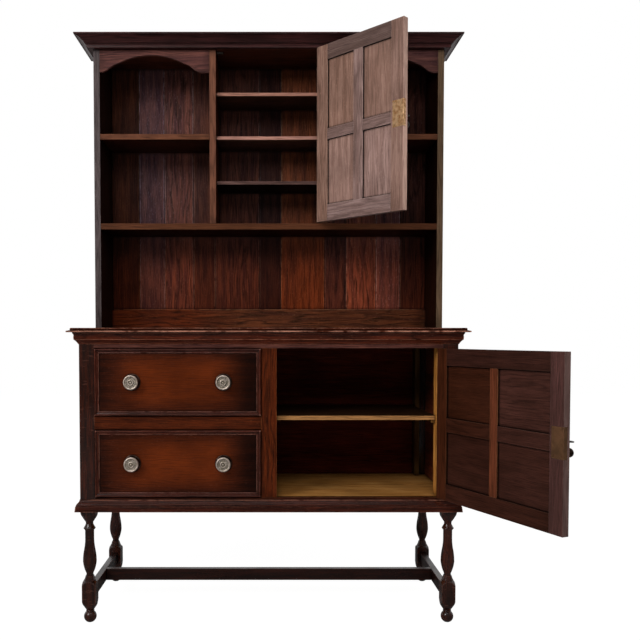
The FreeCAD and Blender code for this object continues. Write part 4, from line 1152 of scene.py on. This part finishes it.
@dataclass
class Studio:
    """Pale floor, white backdrop, soft lamps and the camera of the reference view."""

    lens_px: float = 764.55
    principal_px: Span = (270.7, 363.79)
    frame_px: float = 640.0
    sensor_mm: float = 36.0
    tilt_degrees: float = 2.1
    stand: Triple = (-0.05537, -2.27380, 0.87349)
    room_low: float = 0.13
    room_high: float = 0.42
    floor_size: float = 9.0
    floor_share: float = 0.9
    floor_glow: float = 1.08
    floor_pale: Colour = (0.86, 0.86, 0.86, 1)
    floor_mirrored: Colour = (0.2, 0.2, 0.2, 1)
    white: Colour = (1, 1, 1, 1)
    # Where the backdrop turns from one light to the other, upwards and towards the back
    rise_span: Span = (-0.2, 0.9)
    back_span: Span = (-0.05, 0.3)

    def camera(self) -> None:
        """Set the camera that sees the dresser as the reference view does."""
        data = bpy.data.cameras.new("view")
        data.sensor_width = self.sensor_mm
        data.lens = self.sensor_mm * self.lens_px / self.frame_px
        data.shift_x = 0.5 - self.principal_px[0] / self.frame_px
        data.shift_y = self.principal_px[1] / self.frame_px - 0.5
        seat = set_down("view", data)
        seat.location = self.stand
        seat.rotation_euler = (math.radians(90 - self.tilt_degrees), 0, 0)
        bpy.context.scene.camera = seat

    def world(self) -> None:
        """Light from all round, stronger from above, with a backdrop white to the eye and in metal."""
        world = bpy.data.worlds.new("surroundings")
        bpy.context.scene.world = world
        world.use_nodes = True
        world.node_tree.nodes.clear()
        node = partial(add, world.node_tree)
        way = node("ShaderNodeSeparateXYZ", node("ShaderNodeTexCoord", out="Generated")).node.outputs
        room = node(RANGE, way[2], *self.rise_span, self.room_low, self.room_high, **SMOOTH)
        behind = node(RANGE, way[1], *self.back_span, **SMOOTH)
        ray = node("ShaderNodeLightPath").node.outputs
        mirrored = node(MATH, ray["Is Glossy Ray"], behind, **TIMES)
        direct = node(MATH, ray["Is Camera Ray"], ray["Is Transmission Ray"], operation="MAXIMUM")
        seen = node(MATH, mirrored, direct, operation="MAXIMUM")
        soft = node("ShaderNodeBackground", {"Color": self.white, "Strength": room})
        white = node("ShaderNodeBackground", {"Color": self.white, "Strength": 1.0})
        node("ShaderNodeOutputWorld", {"Surface": node("ShaderNodeMixShader", seen, soft, white)})

    def floor(self) -> None:
        """Lay a wide pale floor that keeps the dresser's shadow and stays dim in polished faces."""
        made = bmesh.new()
        bmesh.ops.create_grid(made, x_segments=1, y_segments=1, size=self.floor_size)
        mesh = bpy.data.meshes.new("floor")
        made.to_mesh(mesh)
        made.free()
        floor = set_down("floor", mesh)
        # Matt studio paper: an even pale grey, lifted to white where the camera sees it
        material, node = blank("floor_paper")
        ray = node("ShaderNodeLightPath").node.outputs
        seen = node(MATH, ray["Is Camera Ray"], self.floor_share, **TIMES)
        pale = node("ShaderNodeBsdfDiffuse", {"Color": self.floor_pale})
        dim = node("ShaderNodeBsdfDiffuse", {"Color": self.floor_mirrored})
        paper = node("ShaderNodeMixShader", ray["Is Glossy Ray"], pale, dim)
        glow = node("ShaderNodeEmission", {"Color": self.white, "Strength": self.floor_glow})
        node("ShaderNodeOutputMaterial", {"Surface": node("ShaderNodeMixShader", seen, paper, glow)})
        mesh.materials.append(material)

    def lamp(
        self, name: str, place: tuple, aim: tuple, size: tuple, watts: float, shines: bool = False
    ) -> None:
        """Hang one soft lamp.

        Args:
            name: The lamp's name.
            place: Where it hangs.
            aim: The point it faces.
            size: Its width and height in metres.
            watts: Its power.
            shines: Whether polished faces mirror it.
        """
        data = bpy.data.lights.new(name, "AREA")
        data.shape = "RECTANGLE"
        data.size, data.size_y = size
        data.energy = watts
        lamp = set_down(name, data)
        lamp.location = place
        lamp.visible_glossy = shines
        lamp.rotation_mode = "QUATERNION"
        lamp.rotation_quaternion = (Vector(aim) - Vector(place)).to_track_quat("-Z", "Y")

    def build(self) -> None:
        """Set up the whole studio."""
        self.camera()
        self.world()
        self.floor()
        self.lamp("left_window", (-2.7, -2.7, 2.9), (0, 0.1, 0.95), (1.5, 1.5), 90, shines=True)
        self.lamp("front_bounce", (-0.4, -3.1, 2.9), (0, 0.1, 1.0), (1.5, 1.5), 42)
        self.lamp("overhead_bank", (-0.2, -1.9, 3.9), (0, 0.1, 0.9), (2.4, 0.8), 15, shines=True)
        self.lamp("right_fill", (3.0, -2.0, 2.2), (0, 0.1, 0.9), (1.6, 1.6), 34)
        bpy.context.scene.view_settings.view_transform = "Standard"


# Each door's tier, wood and lock, the stain of its frame and of its panels in the order that the workshop
# sorts their boards, and the way that the grain of its panels runs
DOORS = (
    (
        "upper", Finish.DOOR_UPPER, Finish.BRASS,
        (
            (0.05, -0.1), (-0.12, -0.3), (0.12, -0.35), (0.1, -0.3), (-0.45, -0.25), (-0.12, -0.3),
            (-0.05, 0.0),
        ),
        ((0.3, -0.25), (0.05, -0.05), (0.28, -0.15), (0.05, 0.0)), 2,
    ),
    (
        "lower", Finish.DOOR_LOWER, Finish.BRONZED,
        ((1.25, -0.7), (0.3, -0.25), (-0.1, 0.1), (1.5, 0.45), (0.0, -0.2), (0.0, 0.2), (0.05, 0.6)),
        ((0.1, -0.15), (0.4, -0.3), (-0.15, 0.0), (-0.15, 0.45)), 0,
    ),
)


def main() -> None:
    """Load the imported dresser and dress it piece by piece."""
    logging.basicConfig(level=logging.INFO, format="%(name)s %(message)s")
    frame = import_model()
    body_of = {name: piece["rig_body"] for name, piece in frame["nodes"].items()}
    Studio().build()
    shop = Workshop(frame["nodes"], body_of)
    fixings = Fixings()
    Base(shop).build()
    Rack(shop, fixings).build()
    for tier in ("upper", "lower"):
        Drawer(shop, fixings, tier).build()
    for door in DOORS:
        Door(shop, fixings, frame["joints"], *door).build()
    Hinges(shop).build()


if __name__ == "__main__":
    main()
